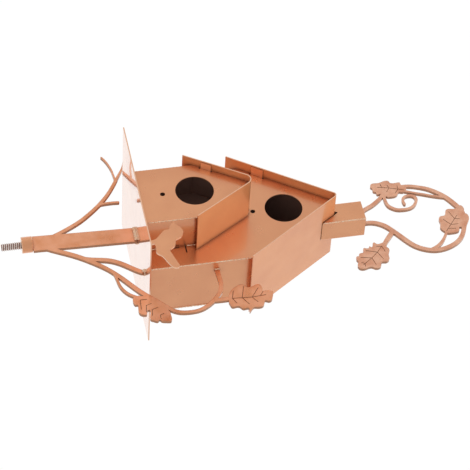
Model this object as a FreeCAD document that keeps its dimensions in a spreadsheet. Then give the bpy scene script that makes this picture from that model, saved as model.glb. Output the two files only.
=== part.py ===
import FreeCAD, Part
import math
import os
import Sketcher

# Pole-top birdhouse of welded sheet metal: a small gabled house in front of a tall one, on one base
# plate, carried by a flat-cut branch bracket on a boss with a stud. Millimetres, +Z up, front at -Y.
# The origin is on the stud's axis, at the boss's lower face, where the head seats on its pole.

Vector = FreeCAD.Vector
Rotation = FreeCAD.Rotation
Placement = FreeCAD.Placement

# Driving dimensions: alias, value, what it is

SIZES = [
    ("stud_radius", 4, "stud, over the thread"),
    ("stud_length", 19.8, "stud below the boss"),
    ("stud_seat", 8, "stud inside the boss"),
    ("stud_relief", 0.25, "how much thinner the stud is inside the boss, radially"),
    ("stud_chamfer", 0.8, "lead at the stud's tip"),
    ("thread_gap", 0.05, "radial play between stud and boss"),
    ("boss_radius", 8.25, "turned boss"),
    ("boss_height", 11, "turned boss"),
    ("boss_chamfer", 0.5, "both rims of the boss"),
    ("head_offset", 2.3, "base plate's centre, to the right of the stud's axis"),
    ("cut_sheet", 3, "thickness of the flat-cut bracket and finial"),
    ("trunk_height", 103.3, "boss to base plate"),
    ("trunk_foot_width", 19.6, "trunk at the boss"),
    ("trunk_foot_shift", 0.8, "its middle there, to the right of the stud's axis"),
    ("trunk_head_width", 18.6, "trunk at the base plate"),
    ("trunk_head_shift", 2.3, "its middle there, to the right of the plate's centre"),
    ("stem_width", 4.2, "leaf stalks and the boughs' plain ends"),
    ("branch_width", 4.8, "branch under the base plate"),
    ("knob_radius", 2.6, "round end of the right bough"),
    ("knob_height", 69.7, "its centre above the floor"),
    ("bough_clearance", 3.7, "bough's line outside the plate's right edge"),
    ("left_reach", 19, "left bough's tip beyond the plate's left edge"),
    ("vein_width", 0.7, "engraved leaf veins"),
    ("vein_depth", 0.4, "engraved leaf veins, on both faces"),
    ("plate_width", 160, "base plate, left to right"),
    ("plate_depth", 142, "base plate, front to back"),
    ("plate_sheet", 1.2, "base plate's thickness"),
    ("lip_hole_radius", 1.6, "small hole in the plate's front lip"),
    ("lip_hole_side", 10.7, "its place, right of the plate's centre"),
    ("lip_hole_inset", 12.8, "its place, behind the plate's front edge"),
    ("sheet", 1, "walls, roofs and chimney"),
    ("seat_gap", 0.1, "play between a welded edge and its seat"),
    ("entry_radius", 19.05, "entry holes"),
    ("perch_radius", 2.5, "perch holes"),
    ("slot_width", 1.2, "slots beside the small house, in the big front panel"),
    ("slot_low", 28, "lower end of the long slot above the floor"),
    ("slot_high", 36.2, "upper end of the long slot above the floor"),
    ("tick_height", 41.7, "lower edge of the cross slot above the floor"),
    ("tick_reach", 9, "cross slot's length"),
    ("slot_offset", 0.8, "long slot, outside the small house's wall"),
    ("relief_width", 1.6, "notches beside the roof tabs"),
    ("relief_depth", 2.2, "notches beside the roof tabs"),
    ("tab_setback", 1.2, "roof tabs, behind the roof's front edge"),
    ("house_lead", 13, "big front panel before the bracket, which is under the plate's centre"),
    ("small_depth", 40, "small front panel to big front panel"),
    ("small_width", 70, "over the side walls"),
    ("small_apex", 119.8, "where the roof's faces would meet, above the floor"),
    ("small_pitch", 58, "roof slope in degrees"),
    ("small_eave", 7, "roof beyond the side wall, level"),
    ("small_front_eave", 8.8, "roof beyond the front panel"),
    ("small_ridge_radius", 7, "bend of the ridge, outside"),
    ("small_entry_height", 57, "entry hole's centre above the floor"),
    ("small_perch_height", 25, "perch hole's centre above the floor"),
    ("small_tab_place", 28.5, "roof tab's centre, from the middle"),
    ("small_tab_length", 10.7, "roof tab, along the slope"),
    ("big_depth", 63.5, "big front panel to back panel, outside"),
    ("big_width", 120.6, "over the side walls"),
    ("big_apex", 205.6, "where the roof's faces would meet, above the floor"),
    ("big_pitch", 55.75, "roof slope in degrees"),
    ("big_eave", 9.3, "roof beyond the side wall, level"),
    ("big_front_eave", 11.3, "roof beyond the front panel"),
    ("big_back_eave", 8.3, "roof beyond the back panel"),
    ("big_ridge_radius", 3.5, "bend of the ridge, outside"),
    ("big_entry_height", 149.2, "entry hole's centre above the floor"),
    ("big_perch_height", 117.6, "perch hole's centre above the floor"),
    ("big_tab_place", 49.7, "roof tab's centre, from the middle"),
    ("big_tab_length", 12.8, "roof tab, along the slope"),
    ("chimney_width", 25.4, "square chimney"),
    ("chimney_inset", 16.3, "chimney behind the big front panel"),
    ("chimney_rise", 27.5, "chimney's rim above the big roof's ridge"),
    ("chimney_bend", 1.6, "outside bend of its folded corners"),
    ("saddle_gap", 0.55, "chimney's cut edge above the roof"),
    ("saddle_skirt", 12, "tube left over for the saddle cut"),
    ("foot_inset", 4.6, "finial's feet, inside the chimney's sides"),
    ("bird_sheet", 2, "thickness of the bird"),
    ("bead_radius", 0.9, "weld beads on the corners"),
    ("fillet_radius", 1.5, "weld beads in inside corners"),
    ("seam_radius", 3, "heavy weld beads under the base plate"),
    ("stitch_length", 16, "short weld beads beside the small house"),
    ("tip_bead", 5, "short weld beads on the bough's ends and the feet"),
]

# Sums and distances that several pieces share, in the head's frame: x from the plate's centre,
# y from the plate's centre, z from the floor, which is the plate's upper face

FLOOR = "(Params.boss_height + Params.trunk_height + Params.plate_sheet)"
FRONT_EDGE = "(-Params.plate_depth / 2)"
BIG_FACE = "(-Params.house_lead)"
SMALL_FACE = f"({BIG_FACE} - Params.small_depth)"
BACK_FACE = f"({BIG_FACE} + Params.big_depth)"
CHIMNEY_FRONT = f"({BIG_FACE} + Params.chimney_inset)"
CHIMNEY_MIDDLE = f"({CHIMNEY_FRONT} + Params.chimney_width / 2)"
CHIMNEY_TOP = "(Params.big_apex + Params.chimney_rise)"

doc = FreeCAD.newDocument("pole_top_birdhouse")
params = doc.addObject("Spreadsheet::Sheet", "Params")
for row, (alias, value, note) in enumerate(SIZES, start=1):
    params.set(f"A{row}", alias)
    params.set(f"B{row}", str(value))
    params.set(f"C{row}", note)
    params.setAlias(f"B{row}", alias)
doc.recompute()


def size(alias):
    """Value of one named cell."""
    return float(params.get(alias))


def value_of(expression):
    """Number that an expression over the named cells has now."""
    return float(params.evalExpression(expression))


# Helpers for bodies and sketches whose sizes follow the cells


def seat_in_head(piece):
    """Puts a piece that is drawn in the head's frame where the head stands over the stud."""
    piece.setExpression("Placement.Base.x", "Params.head_offset")
    piece.setExpression("Placement.Base.z", FLOOR)


def new_body(label, in_head=True):
    """Empty body with a label, in the head's frame unless told otherwise."""
    body = doc.addObject("PartDesign::Body", label)
    body.Label = label
    if in_head:
        seat_in_head(body)
    return body


def new_sketch(body, role, offset="0"):
    """Sketch on one of the body's origin planes, moved along the plane's normal."""
    sketch = body.newObject("Sketcher::SketchObject", f"{body.Label}_sketch")
    plane = next(item for item in body.Origin.OriginFeatures if item.Role == role)
    sketch.AttachmentSupport = [(plane, "")]
    sketch.MapMode = "FlatFace"
    sketch.setExpression("AttachmentOffset.Base.z", offset)
    return sketch


def tie(sketch, kind, geometry, point, expression):
    """One coordinate of a sketch point, bound to the cells."""
    constraint = Sketcher.Constraint(kind, geometry, point, value_of(expression))
    index = sketch.addConstraint(constraint)
    sketch.setExpression(f"Constraints[{index}]", expression)


def draw_loop(sketch, corners):
    """Closed outline with straight sides; each corner is a pair of expressions."""
    spots = [Vector(value_of(across), value_of(up), 0) for across, up in corners]
    first = sketch.GeometryCount
    count = len(corners)
    for index in range(count):
        line = Part.LineSegment(spots[index], spots[(index + 1) % count])
        sketch.addGeometry(line, False)
    for index in range(count):
        following = first + (index + 1) % count
        sketch.addConstraint(Sketcher.Constraint("Coincident", first + index, 2, following, 1))
    for index, (across, up) in enumerate(corners):
        tie(sketch, "DistanceX", first + index, 1, across)
        tie(sketch, "DistanceY", first + index, 1, up)


def draw_circle(sketch, across, up, radius):
    """Circle whose centre and radius are expressions."""
    centre = Vector(value_of(across), value_of(up), 0)
    circle = Part.Circle(centre, Vector(0, 0, 1), value_of(radius))
    index = sketch.addGeometry(circle, False)
    tie(sketch, "DistanceX", index, 3, across)
    tie(sketch, "DistanceY", index, 3, up)
    constraint = sketch.addConstraint(Sketcher.Constraint("Radius", index, value_of(radius)))
    sketch.setExpression(f"Constraints[{constraint}]", radius)


def add_pad(body, sketch, length):
    """Pad along the sketch's normal."""
    pad = body.newObject("PartDesign::Pad", f"{body.Label}_pad")
    pad.Profile = sketch
    pad.setExpression("Length", length)
    doc.recompute()
    return pad


def round_edges(body, base, wanted, radius):
    """Fillet on the edges of a feature that the test picks."""
    names = []
    for index, edge in enumerate(base.Shape.Edges, start=1):
        if wanted(edge):
            names.append(f"Edge{index}")
    fillet = body.newObject("PartDesign::Fillet", f"{body.Label}_fillet")
    fillet.Base = (base, names)
    fillet.setExpression("Radius", radius)
    doc.recompute()
    return fillet


# Roof geometry shared by roofs, gable panels, side walls and the chimney's saddle cut


def roof_height(house, across, depth="0"):
    """Height of a line parallel to the roof's outer face, at a level distance from the middle."""
    apex = f"Params.{house}_apex - ({depth}) / cos(Params.{house}_pitch)"
    return f"({apex} - ({across}) * tan(Params.{house}_pitch))"


def wall_height(house):
    """Height of the side walls: their outer face meets the roof's lower face."""
    return roof_height(house, f"Params.{house}_width / 2", "Params.sheet + Params.seat_gap")


def on_slope(house, side, along, depth):
    """Point beside the roof: along the slope from the tab's middle, and below the outer face."""
    sine = f"sin(Params.{house}_pitch)"
    cosine = f"cos(Params.{house}_pitch)"
    middle = f"Params.{house}_tab_place"
    across = f"({middle} + ({along}) * {cosine} - ({depth}) * {sine})"
    up = f"({roof_height(house, middle)} - ({along}) * {sine} - ({depth}) * {cosine})"
    return (f"({side}) * {across}", up)


def at_ridge(height):
    """Test for the edge that runs front to back through the middle at a height."""
    target = value_of(height)

    def test(edge):
        ends = [vertex.Point for vertex in edge.Vertexes]
        level = all(abs(end.x) < 0.01 and abs(end.z - target) < 0.01 for end in ends)
        return len(ends) == 2 and level

    return test


# Pole fitting


def make_stud():
    """Stud: a plain cylinder over the thread, with a chamfered tip and a thinner shank in the boss."""
    body = new_body("threaded_stud", in_head=False)
    sketch = new_sketch(body, "XZ_Plane")
    top = "Params.stud_seat"
    tip = "-Params.stud_length"
    shank = "Params.stud_radius - Params.stud_relief"
    draw_loop(sketch, [
        ("0", top),
        (shank, top),
        (shank, "0"),
        ("Params.stud_radius", "0"),
        ("Params.stud_radius", f"{tip} + Params.stud_chamfer"),
        ("Params.stud_radius - Params.stud_chamfer", tip),
        ("0", tip),
    ])
    turn(body, sketch)
    return body


def turn(body, sketch):
    """Full revolution of a sketch about the vertical axis."""
    revolution = body.newObject("PartDesign::Revolution", f"{body.Label}_turned")
    revolution.Profile = sketch
    revolution.ReferenceAxis = (sketch, ["V_Axis"])
    revolution.Angle = 360
    doc.recompute()
    return revolution


def make_boss():
    """Turned boss with a blind bore for the stud."""
    body = new_body("stud_boss", in_head=False)
    sketch = new_sketch(body, "XZ_Plane")
    bore = "Params.stud_radius - Params.stud_relief + Params.thread_gap"
    depth = "Params.stud_seat"
    rim = "Params.boss_radius"
    lead = "Params.boss_chamfer"
    draw_loop(sketch, [
        (bore, "0"),
        (f"{rim} - {lead}", "0"),
        (rim, lead),
        (rim, f"Params.boss_height - {lead}"),
        (f"{rim} - {lead}", "Params.boss_height"),
        ("0", "Params.boss_height"),
        ("0", depth),
        (bore, depth),
    ])
    turn(body, sketch)
    return body


# Base plate and houses


def make_base_plate():
    """Flat base plate with one small hole in its front lip."""
    body = new_body("base_plate")
    sketch = new_sketch(body, "XY_Plane", "-Params.plate_sheet")
    side = "Params.plate_width / 2"
    end = "Params.plate_depth / 2"
    draw_loop(sketch, [
        (f"-{side}", f"-{end}"),
        (side, f"-{end}"),
        (side, end),
        (f"-{side}", end),
    ])
    hole_depth = f"{FRONT_EDGE} + Params.lip_hole_inset"
    draw_circle(sketch, "Params.lip_hole_side", hole_depth, "Params.lip_hole_radius")
    add_pad(body, sketch, "Params.plate_sheet")
    return body


def gable_outline(house):
    """Corners of a panel that closes the end of a house under its roof."""
    side = f"Params.{house}_width / 2"
    wall = wall_height(house)
    peak = roof_height(house, "0", "Params.sheet + Params.seat_gap")
    return [(f"-{side}", "0"), (side, "0"), (side, wall), ("0", peak), (f"-{side}", wall)]


def make_gable_panel(label, house, face):
    """Gable panel with its front face at a given y, and its peak rounded to follow the ridge."""
    body = new_body(label)
    sketch = new_sketch(body, "XZ_Plane", f"-({face} + Params.sheet)")
    draw_loop(sketch, gable_outline(house))
    return body, sketch


def finish_gable(body, pad, house):
    """Rounds the panel's peak under the bent ridge."""
    peak = roof_height(house, "0", "Params.sheet + Params.seat_gap")
    inner = f"Params.{house}_ridge_radius - Params.sheet - Params.seat_gap"
    return round_edges(body, pad, at_ridge(peak), inner)


def draw_join_slots(sketch):
    """Long slot and cross slot on each side of the small house, in the big front panel."""
    wall = "(Params.small_width / 2 + Params.seat_gap)"
    inner = f"({wall} + Params.slot_offset)"
    outer = f"({inner} + Params.slot_width)"
    for side in ("", "-"):
        draw_loop(sketch, [
            (f"{side}{inner}", "Params.slot_low"),
            (f"{side}{outer}", "Params.slot_low"),
            (f"{side}{outer}", "Params.slot_high"),
            (f"{side}{inner}", "Params.slot_high"),
        ])
        draw_loop(sketch, [
            (f"{side}{wall}", "Params.tick_height"),
            (f"{side}({wall} + Params.tick_reach)", "Params.tick_height"),
            (f"{side}({wall} + Params.tick_reach)", "Params.tick_height + Params.slot_width"),
            (f"{side}{wall}", "Params.tick_height + Params.slot_width"),
        ])


def make_front_panel(house, face):
    """Front panel: entry hole, perch hole, and two tabs bent forward under the roof."""
    body, sketch = make_gable_panel(f"{house}_front_panel", house, face)
    draw_circle(sketch, "0", f"Params.{house}_entry_height", "Params.entry_radius")
    draw_circle(sketch, "0", f"Params.{house}_perch_height", "Params.perch_radius")
    if house == "big":
        draw_join_slots(sketch)
    pad = add_pad(body, sketch, "Params.sheet")
    finish_gable(body, pad, house)
    half = f"Params.{house}_tab_length / 2"
    upper = "(Params.sheet + Params.seat_gap)"
    lower = f"({upper} + Params.sheet)"
    floor = f"({upper} + Params.relief_depth)"
    notches = new_sketch(body, "XZ_Plane", f"-({face} + Params.sheet)")
    for side in ("1", "-1"):
        for start, stop in (
            (f"-{half} - Params.relief_width", f"-{half}"),
            (half, f"{half} + Params.relief_width"),
        ):
            draw_loop(notches, [
                on_slope(house, side, start, floor),
                on_slope(house, side, stop, floor),
                on_slope(house, side, stop, "Params.sheet - Params.seat_gap"),
                on_slope(house, side, start, "Params.sheet - Params.seat_gap"),
            ])
    pocket = body.newObject("PartDesign::Pocket", f"{body.Label}_reliefs")
    pocket.Profile = notches
    pocket.Reversed = True
    pocket.setExpression("Length", "Params.sheet")
    doc.recompute()
    tabs = new_sketch(body, "XZ_Plane", f"-({face} + Params.sheet)")
    for side in ("1", "-1"):
        draw_loop(tabs, [
            on_slope(house, side, f"-{half}", lower),
            on_slope(house, side, half, lower),
            on_slope(house, side, half, upper),
            on_slope(house, side, f"-{half}", upper),
        ])
    reach = f"Params.sheet + Params.{house}_front_eave - Params.tab_setback"
    add_pad(body, tabs, reach)
    return body


def make_side_wall(label, house, side, front, back):
    """Side wall between two gable panels, its outer face flush with their edges."""
    body = new_body(label)
    outer = f"Params.{house}_width / 2"
    offset = f"{outer} - Params.sheet" if side > 0 else f"-{outer}"
    sketch = new_sketch(body, "YZ_Plane", offset)
    top = wall_height(house)
    draw_loop(sketch, [(front, "0"), (back, "0"), (back, top), (front, top)])
    add_pad(body, sketch, "Params.sheet")
    return body


def make_roof(house, front, back):
    """One sheet folded over a round ridge, from front edge to back edge."""
    body = new_body(f"{house}_roof")
    sketch = new_sketch(body, "XZ_Plane", f"-({back})")
    reach = f"(Params.{house}_width / 2 + Params.{house}_eave)"
    low = roof_height(house, reach)
    inner_reach = f"({reach} - Params.sheet * sin(Params.{house}_pitch))"
    inner_low = f"({low} - Params.sheet * cos(Params.{house}_pitch))"
    inner_peak = roof_height(house, "0", "Params.sheet")
    draw_loop(sketch, [
        (f"-{reach}", low),
        ("0", f"Params.{house}_apex"),
        (reach, low),
        (inner_reach, inner_low),
        ("0", inner_peak),
        (f"-{inner_reach}", inner_low),
    ])
    pad = add_pad(body, sketch, f"({back}) - ({front})")
    outside = round_edges(body, pad, at_ridge(f"Params.{house}_apex"), f"Params.{house}_ridge_radius")
    inside = f"Params.{house}_ridge_radius - Params.sheet"
    round_edges(body, outside, at_ridge(inner_peak), inside)
    return body


# Chimney


def square(side, middle):
    """Corners of a square about a point on the middle line."""
    half = f"({side}) / 2"
    return [
        (f"-{half}", f"{middle} - {half}"),
        (half, f"{middle} - {half}"),
        (half, f"{middle} + {half}"),
        (f"-{half}", f"{middle} + {half}"),
    ]


def make_chimney():
    """Square tube folded from sheet, cut to a saddle over the big roof, welded up one corner."""
    body = new_body("chimney")
    half = "Params.chimney_width / 2"
    bottom = f"({roof_height('big', half)} - Params.saddle_skirt)"
    sketch = new_sketch(body, "XY_Plane", bottom)
    draw_loop(sketch, square("Params.chimney_width", CHIMNEY_MIDDLE))
    draw_loop(sketch, square("Params.chimney_width - 2 * Params.sheet", CHIMNEY_MIDDLE))
    pad = add_pad(body, sketch, f"{CHIMNEY_TOP} - {bottom}")
    outer = size("chimney_width") / 2
    front = value_of(CHIMNEY_FRONT)

    def folded(edge):
        ends = [vertex.Point for vertex in edge.Vertexes]
        upright = len(ends) == 2 and abs(ends[0].x - ends[1].x) + abs(ends[0].y - ends[1].y) < 0.01
        on_outside = abs(abs(ends[0].x) - outer) < 0.01
        at_weld = ends[0].x > 0 and abs(ends[0].y - front) < 0.01
        return upright and on_outside and not at_weld

    round_edges(body, pad, folded, "Params.chimney_bend")
    cutter = new_sketch(body, "XZ_Plane", f"-({CHIMNEY_MIDDLE} + Params.chimney_width)")
    clear = "Params.chimney_width"
    under = f"({bottom} - Params.saddle_skirt)"
    slope_end = roof_height("big", clear, "-Params.saddle_gap")
    draw_loop(cutter, [
        (f"-{clear}", slope_end),
        ("0", roof_height("big", "0", "-Params.saddle_gap")),
        (clear, slope_end),
        (clear, f"{slope_end} - {under}"),
        (f"-{clear}", f"{slope_end} - {under}"),
    ])
    pocket = body.newObject("PartDesign::Pocket", "chimney_saddle")
    pocket.Profile = cutter
    pocket.Reversed = True
    pocket.setExpression("Length", "2 * Params.chimney_width")
    doc.recompute()
    return body


def make_chimney_cap():
    """Small plate that closes the chimney, flush with its rim, and carries the finial."""
    body = new_body("chimney_cap")
    sketch = new_sketch(body, "XY_Plane", f"{CHIMNEY_TOP} - Params.sheet")
    side = "Params.chimney_width - 2 * Params.sheet - 2 * Params.seat_gap"
    draw_loop(sketch, square(side, CHIMNEY_MIDDLE))
    add_pad(body, sketch, "Params.sheet")
    return body


# Flat-cut scrollwork: stems follow smooth lines, leaves are closed smooth outlines


def smooth(points):
    """Smooth curve through points in the upright plane."""
    curve = Part.BSplineCurve()
    curve.interpolate(Points=[Vector(x, 0, z) for x, z in points])
    return curve


def lobed(points):
    """Closed smooth curve that keeps tight corners between its lobes."""
    spots = [Vector(x, 0, z) for x, z in points]
    steps = [0.0]
    for here, following in zip(spots, spots[1:] + spots[:1]):
        steps.append(steps[-1] + math.sqrt(here.distanceToPoint(following)))
    curve = Part.BSplineCurve()
    curve.interpolate(Points=spots, PeriodicFlag=True, Parameters=steps)
    return curve


def flat_face(wire):
    """Face of a closed outline, always facing the back, so that overlapping ones can merge."""
    face = Part.Face(wire)
    if face.normalAt(0, 0).y < 0:
        wire.reverse()
        face = Part.Face(wire)
    return face


def stem(points):
    """Round-ended stem along a smooth line of points, each with the stem's width there."""
    curve = smooth([point[:2] for point in points])
    left = []
    right = []
    for x, z, width in points:
        direction = curve.tangent(curve.parameter(Vector(x, 0, z)))[0]
        normal = Vector(-direction.z, 0, direction.x) * (width / 2)
        left.append((x + normal.x, z + normal.z))
        right.append((x - normal.x, z - normal.z))
    start = curve.tangent(curve.FirstParameter)[0] * (-points[0][2] / 2)
    end = curve.tangent(curve.LastParameter)[0] * (points[-1][2] / 2)
    edges = [
        smooth(left).toShape(),
        round_cap(left[-1], points[-1], end, right[-1]),
        smooth(right[::-1]).toShape(),
        round_cap(right[0], points[0], start, left[0]),
    ]
    return flat_face(Part.Wire(edges))


def round_cap(one, middle, outward, other):
    """Half-round end between the two sides of a stem."""
    top = Vector(middle[0], 0, middle[1]) + outward
    return Part.Arc(Vector(one[0], 0, one[1]), top, Vector(other[0], 0, other[1])).toShape()


def leaf(outline):
    """Lobed leaf from points on its edge."""
    return flat_face(Part.Wire([lobed(outline).toShape()]))


def straight(points):
    """Flat piece with straight sides."""
    corners = [Vector(x, 0, z) for x, z in points]
    return flat_face(Part.makePolygon(corners + corners[:1]))


def disc(centre, radius):
    """Round flat piece."""
    circle = Part.Circle(Vector(centre[0], 0, centre[1]), Vector(0, 1, 0), radius)
    return flat_face(Part.Wire([circle.toShape()]))


def vein_cutters(veins, width, depth, thickness):
    """Thin blades that cut each vein line into both faces."""
    blades = []
    for start, end in veins:
        a = Vector(start[0], 0, start[1])
        b = Vector(end[0], 0, end[1])
        along = (b - a).normalize()
        across = Vector(-along.z, 0, along.x) * (width / 2)
        corners = [a + across, b + across, b - across, a - across]
        for side in (-1, 1):
            face = Part.Face(Part.makePolygon(corners + corners[:1]))
            face.translate(Vector(0, side * (thickness / 2 - depth), 0))
            blades.append(face.extrude(Vector(0, side * 2 * depth, 0)))
    return blades


def moved(points, dx, dz):
    """Points shifted in the upright plane, with any width kept."""
    return [(x + dx, z + dz, *width) for x, z, *width in points]


def moved_lines(lines, dx, dz):
    """Vein lines shifted in the upright plane."""
    return [tuple(moved(line, dx, dz)) for line in lines]


def cut_from_sheet(outlines, thickness, blades=()):
    """One sheet piece, centred on the upright plane, from overlapping outlines, with veins engraved."""
    flat = outlines[0].multiFuse(outlines[1:]).removeSplitter()
    face = flat.Faces[0]
    face.translate(Vector(0, -thickness / 2, 0))
    piece = face.extrude(Vector(0, thickness, 0))
    if blades:
        piece = piece.cut(Part.makeCompound(list(blades)))
    return piece


def add_shape(label, shape, placement):
    """Piece whose outline is free-form, set from its shape."""
    feature = doc.addObject("Part::Feature", label)
    feature.Label = label
    feature.Shape = shape
    feature.Placement = placement
    return feature


# Oak leaves: each outline is measured from the point where the leaf is carried

BOUGH_LEAF = [
    (-1.2, -13.2), (0.8, -16.8), (3.9, -17.7), (6.5, -17.6), (10.0, -16.0), (10.2, -14.0),
    (16.1, -14.4), (21.7, -13.6), (23.8, -10.6), (23.7, -7.2), (19.3, -6.0), (18.7, -3.4),
    (29.4, -5.0), (31.8, -2.7), (33.7, 1.9), (32.0, 3.9), (33.8, 5.4), (35.2, 9.5), (35.7, 14.3),
    (33.2, 15.8), (30.0, 15.8), (24.8, 15.6), (20.7, 14.0), (11.9, 7.7), (2.8, -0.6),
]
BOUGH_LEAF_VEINS = [
    ((4.4, -10.4), (4.6, -3.8)), ((4.4, -10.4), (16.6, -11.4)), ((12.1, -5.8), (10.4, -0.2)),
    ((12.1, -5.8), (20.6, -6.9)), ((18.3, -1.0), (16.3, 4.9)), ((18.3, -1.0), (25.9, -2.1)),
    ((26.4, 5.4), (24.9, 9.3)), ((26.4, 5.4), (31.2, 5.5)),
]
CURL_LEAF = [
    (-3.8, 13.8), (-10.2, 17.6), (-14.2, 22.9), (-16.0, 29.2), (-12.6, 32.6), (-11.4, 36.2),
    (-12.6, 40.4), (-13.6, 45.2), (-9.4, 47.8), (-4.9, 47.7), (-4.3, 51.0), (-2.3, 57.2),
    (3.8, 56.1), (8.0, 54.2), (9.2, 50.6), (8.0, 47.6), (13.6, 45.0), (15.2, 38.8),
    (15.2, 34.3), (20.3, 29.8), (15.1, 29.9), (15.0, 25.0), (12.0, 22.0), (10.8, 18.8),
    (11.0, 14.4), (7.1, 12.7), (4.4, 12.2),
]
CURL_LEAF_VEINS = [
    ((0.3, 16.4), (1.7, 35.7)), ((1.7, 35.7), (0.8, 49.8)), ((-9.5, 19.3), (0.3, 16.4)),
    ((0.3, 16.4), (7.0, 19.7)), ((-13.4, 30.3), (1.0, 26.1)), ((1.0, 26.1), (10.2, 31.5)),
    ((-9.3, 44.0), (1.7, 35.7)), ((1.7, 35.7), (8.9, 40.5)), ((-4.8, 48.5), (1.2, 44.0)),
]
LEFT_FINIAL_LEAF = [
    (-44.0, 20.0), (-44.6, 23.2), (-44.4, 27.4), (-45.4, 31.4), (-46.3, 34.2), (-45.7, 38.4),
    (-42.9, 39.6), (-41.8, 42.2), (-41.9, 46.0), (-41.6, 49.8), (-38.2, 50.4), (-35.0, 54.9),
    (-28.4, 51.4), (-28.2, 47.6), (-28.5, 45.7), (-25.4, 43.4), (-23.3, 40.0), (-23.1, 35.2),
    (-24.0, 31.7), (-28.6, 27.0), (-28.5, 22.6), (-31.7, 22.1), (-32.5, 20.7), (-34.2, 19.4),
    (-37.8, 19.5), (-39.5, 18.2), (-42.0, 18.5),
]
LEFT_FINIAL_VEINS = [
    ((-38.4, 24.9), (-35.8, 36.9)), ((-35.8, 36.9), (-30.5, 51.6)), ((-42.0, 29.2), (-37.4, 29.6)),
    ((-40.2, 35.9), (-35.8, 36.9)), ((-35.8, 36.9), (-30.5, 33.0)), ((-37.9, 46.0), (-32.6, 45.8)),
    ((-32.6, 45.8), (-27.6, 41.4)),
]
RIGHT_FINIAL_LEAF = [
    (38.2, 9.7), (37.7, 5.2), (36.1, 3.9), (36.6, 2.2), (40.3, 1.1), (41.9, -0.8), (40.2, -2.0),
    (42.8, -3.9), (42.0, -7.7), (43.6, -9.6), (47.7, -10.6), (48.6, -14.4), (51.6, -16.0),
    (51.9, -17.9), (53.3, -19.0), (56.7, -19.0), (58.7, -18.1), (62.5, -19.6), (65.4, -19.9),
    (68.1, -18.4), (69.2, -15.6), (68.9, -12.5), (67.8, -9.1), (67.9, -6.0), (69.8, -3.4),
    (70.3, -0.4), (69.0, 2.4), (66.0, 3.9), (63.5, 4.4), (62.9, 6.8), (63.3, 9.5), (62.0, 12.3),
    (59.1, 14.0), (54.4, 14.3), (49.9, 16.2), (45.8, 16.2), (43.6, 14.8), (39.4, 15.6),
]
RIGHT_FINIAL_VEINS = [
    ((42.4, 10.1), (49.3, 3.7)), ((49.3, 3.7), (56.1, -3.6)), ((56.1, -3.6), (63.9, -14.0)),
    ((42.4, 10.1), (41.5, 4.3)), ((42.4, 10.1), (49.9, 11.9)), ((49.3, 3.7), (45.5, -7.6)),
    ((49.3, 3.7), (59.2, 7.7)), ((56.1, -3.6), (53.7, -14.7)), ((56.1, -3.6), (65.6, -1.3)),
    ((62.4, -12.1), (60.6, -15.4)), ((62.4, -12.0), (66.5, -12.5)),
]
TOP_FINIAL_LEAF = [
    (3.4, 96.5), (3.0, 92.9), (2.8, 89.0), (4.7, 86.6), (9.4, 85.0), (11.0, 83.2), (11.3, 79.7),
    (13.2, 77.6), (15.6, 76.7), (19.4, 76.9), (21.1, 76.9), (24.6, 75.7), (26.6, 75.4),
    (29.3, 76.2), (32.0, 78.1), (35.1, 81.0), (35.6, 83.5), (35.5, 87.8), (34.8, 91.7),
    (32.4, 94.1), (28.9, 94.8), (29.4, 98.1), (24.9, 104.6), (17.9, 108.0), (14.2, 108.0),
    (11.6, 106.6), (11.2, 104.9), (6.1, 106.0), (2.3, 105.8), (-0.5, 103.4),
]
TOP_FINIAL_VEINS = [
    ((12.4, 96.6), (32.3, 80.4)), ((6.3, 89.4), (16.8, 93.0)), ((16.8, 93.0), (18.0, 98.4)),
    ((15.6, 81.1), (24.1, 87.1)), ((24.1, 87.1), (24.4, 95.2)), ((29.1, 83.0), (30.2, 90.9)),
]

# Boughs, twigs, branch and stalk: x as a share of the way out to the bough's reach, z as a share of
# the way from the plate down to the boss, and the width; tips and curls are in millimetres throughout

LEFT_BOUGH = [
    (0.045, 0.884, 4.0), (0.119, 0.720, 4.0), (0.191, 0.591, 4.0), (0.246, 0.507, 3.9),
    (0.330, 0.406, 3.8), (0.418, 0.314, 3.7), (0.526, 0.220, 3.6), (0.633, 0.146, 3.4),
    (0.743, 0.082, 3.3), (0.826, 0.036, 2.6),
]
LEFT_TIP = [(9.7, -0.6, 2.0), (0.0, 2.7, 1.4)]
TWIG_ROUTE = [
    (0.7515, 0.0784, 2.4), (0.8263, 0.0862, 1.9), (0.9000, 0.0939, 1.8),
    (0.9818, 0.1123, 1.8), (1.0586, 0.1404, 1.8), (1.1061, 0.1655, 1.6),
]
SPUR_ROUTE = [
    (0.4465, 0.2788, 2.6), (0.4525, 0.2207, 2.6),
    (0.4535, 0.1578, 2.6), (0.4495, 0.0997, 2.6),
]
RIGHT_BOUGH = [
    (0.054, 0.896, 4.8), (0.153, 0.754, 4.8), (0.251, 0.611, 4.8), (0.316, 0.533, 4.7),
    (0.390, 0.456, 4.4), (0.460, 0.388, 4.2), (0.540, 0.321, 4.0), (0.660, 0.240, 4.6),
    (0.793, 0.161, 4.8), (0.909, 0.091, 4.8),
]
BRANCH_ROUTE = [
    (0.309, 0.542), (0.342, 0.452), (0.376, 0.324), (0.411, 0.256), (0.459, 0.195),
    (0.529, 0.125), (0.585, 0.070),
]
BRANCH_TIP_SHARE = 0.622
CURL_ROUTE = [
    (0.8, -3.2, 4.8), (8.3, 4.2, 4.6), (16.4, 11.6, 4.2), (22.0, 17.5, 4.0), (25.5, 24.2, 3.8),
    (26.7, 33.4, 3.5), (26.2, 41.4, 3.5), (23.5, 48.8, 3.8), (19.6, 54.8, 4.0), (15.4, 59.8, 4.2),
]
CURL_RETURN = [(33.9, 64.2, 4.2), (28.4, 67.8, 4.3), (22.5, 69.6, 4.3), (16.6, 70.2, 4.4), (10.6, 70.0, 4.5)]
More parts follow.
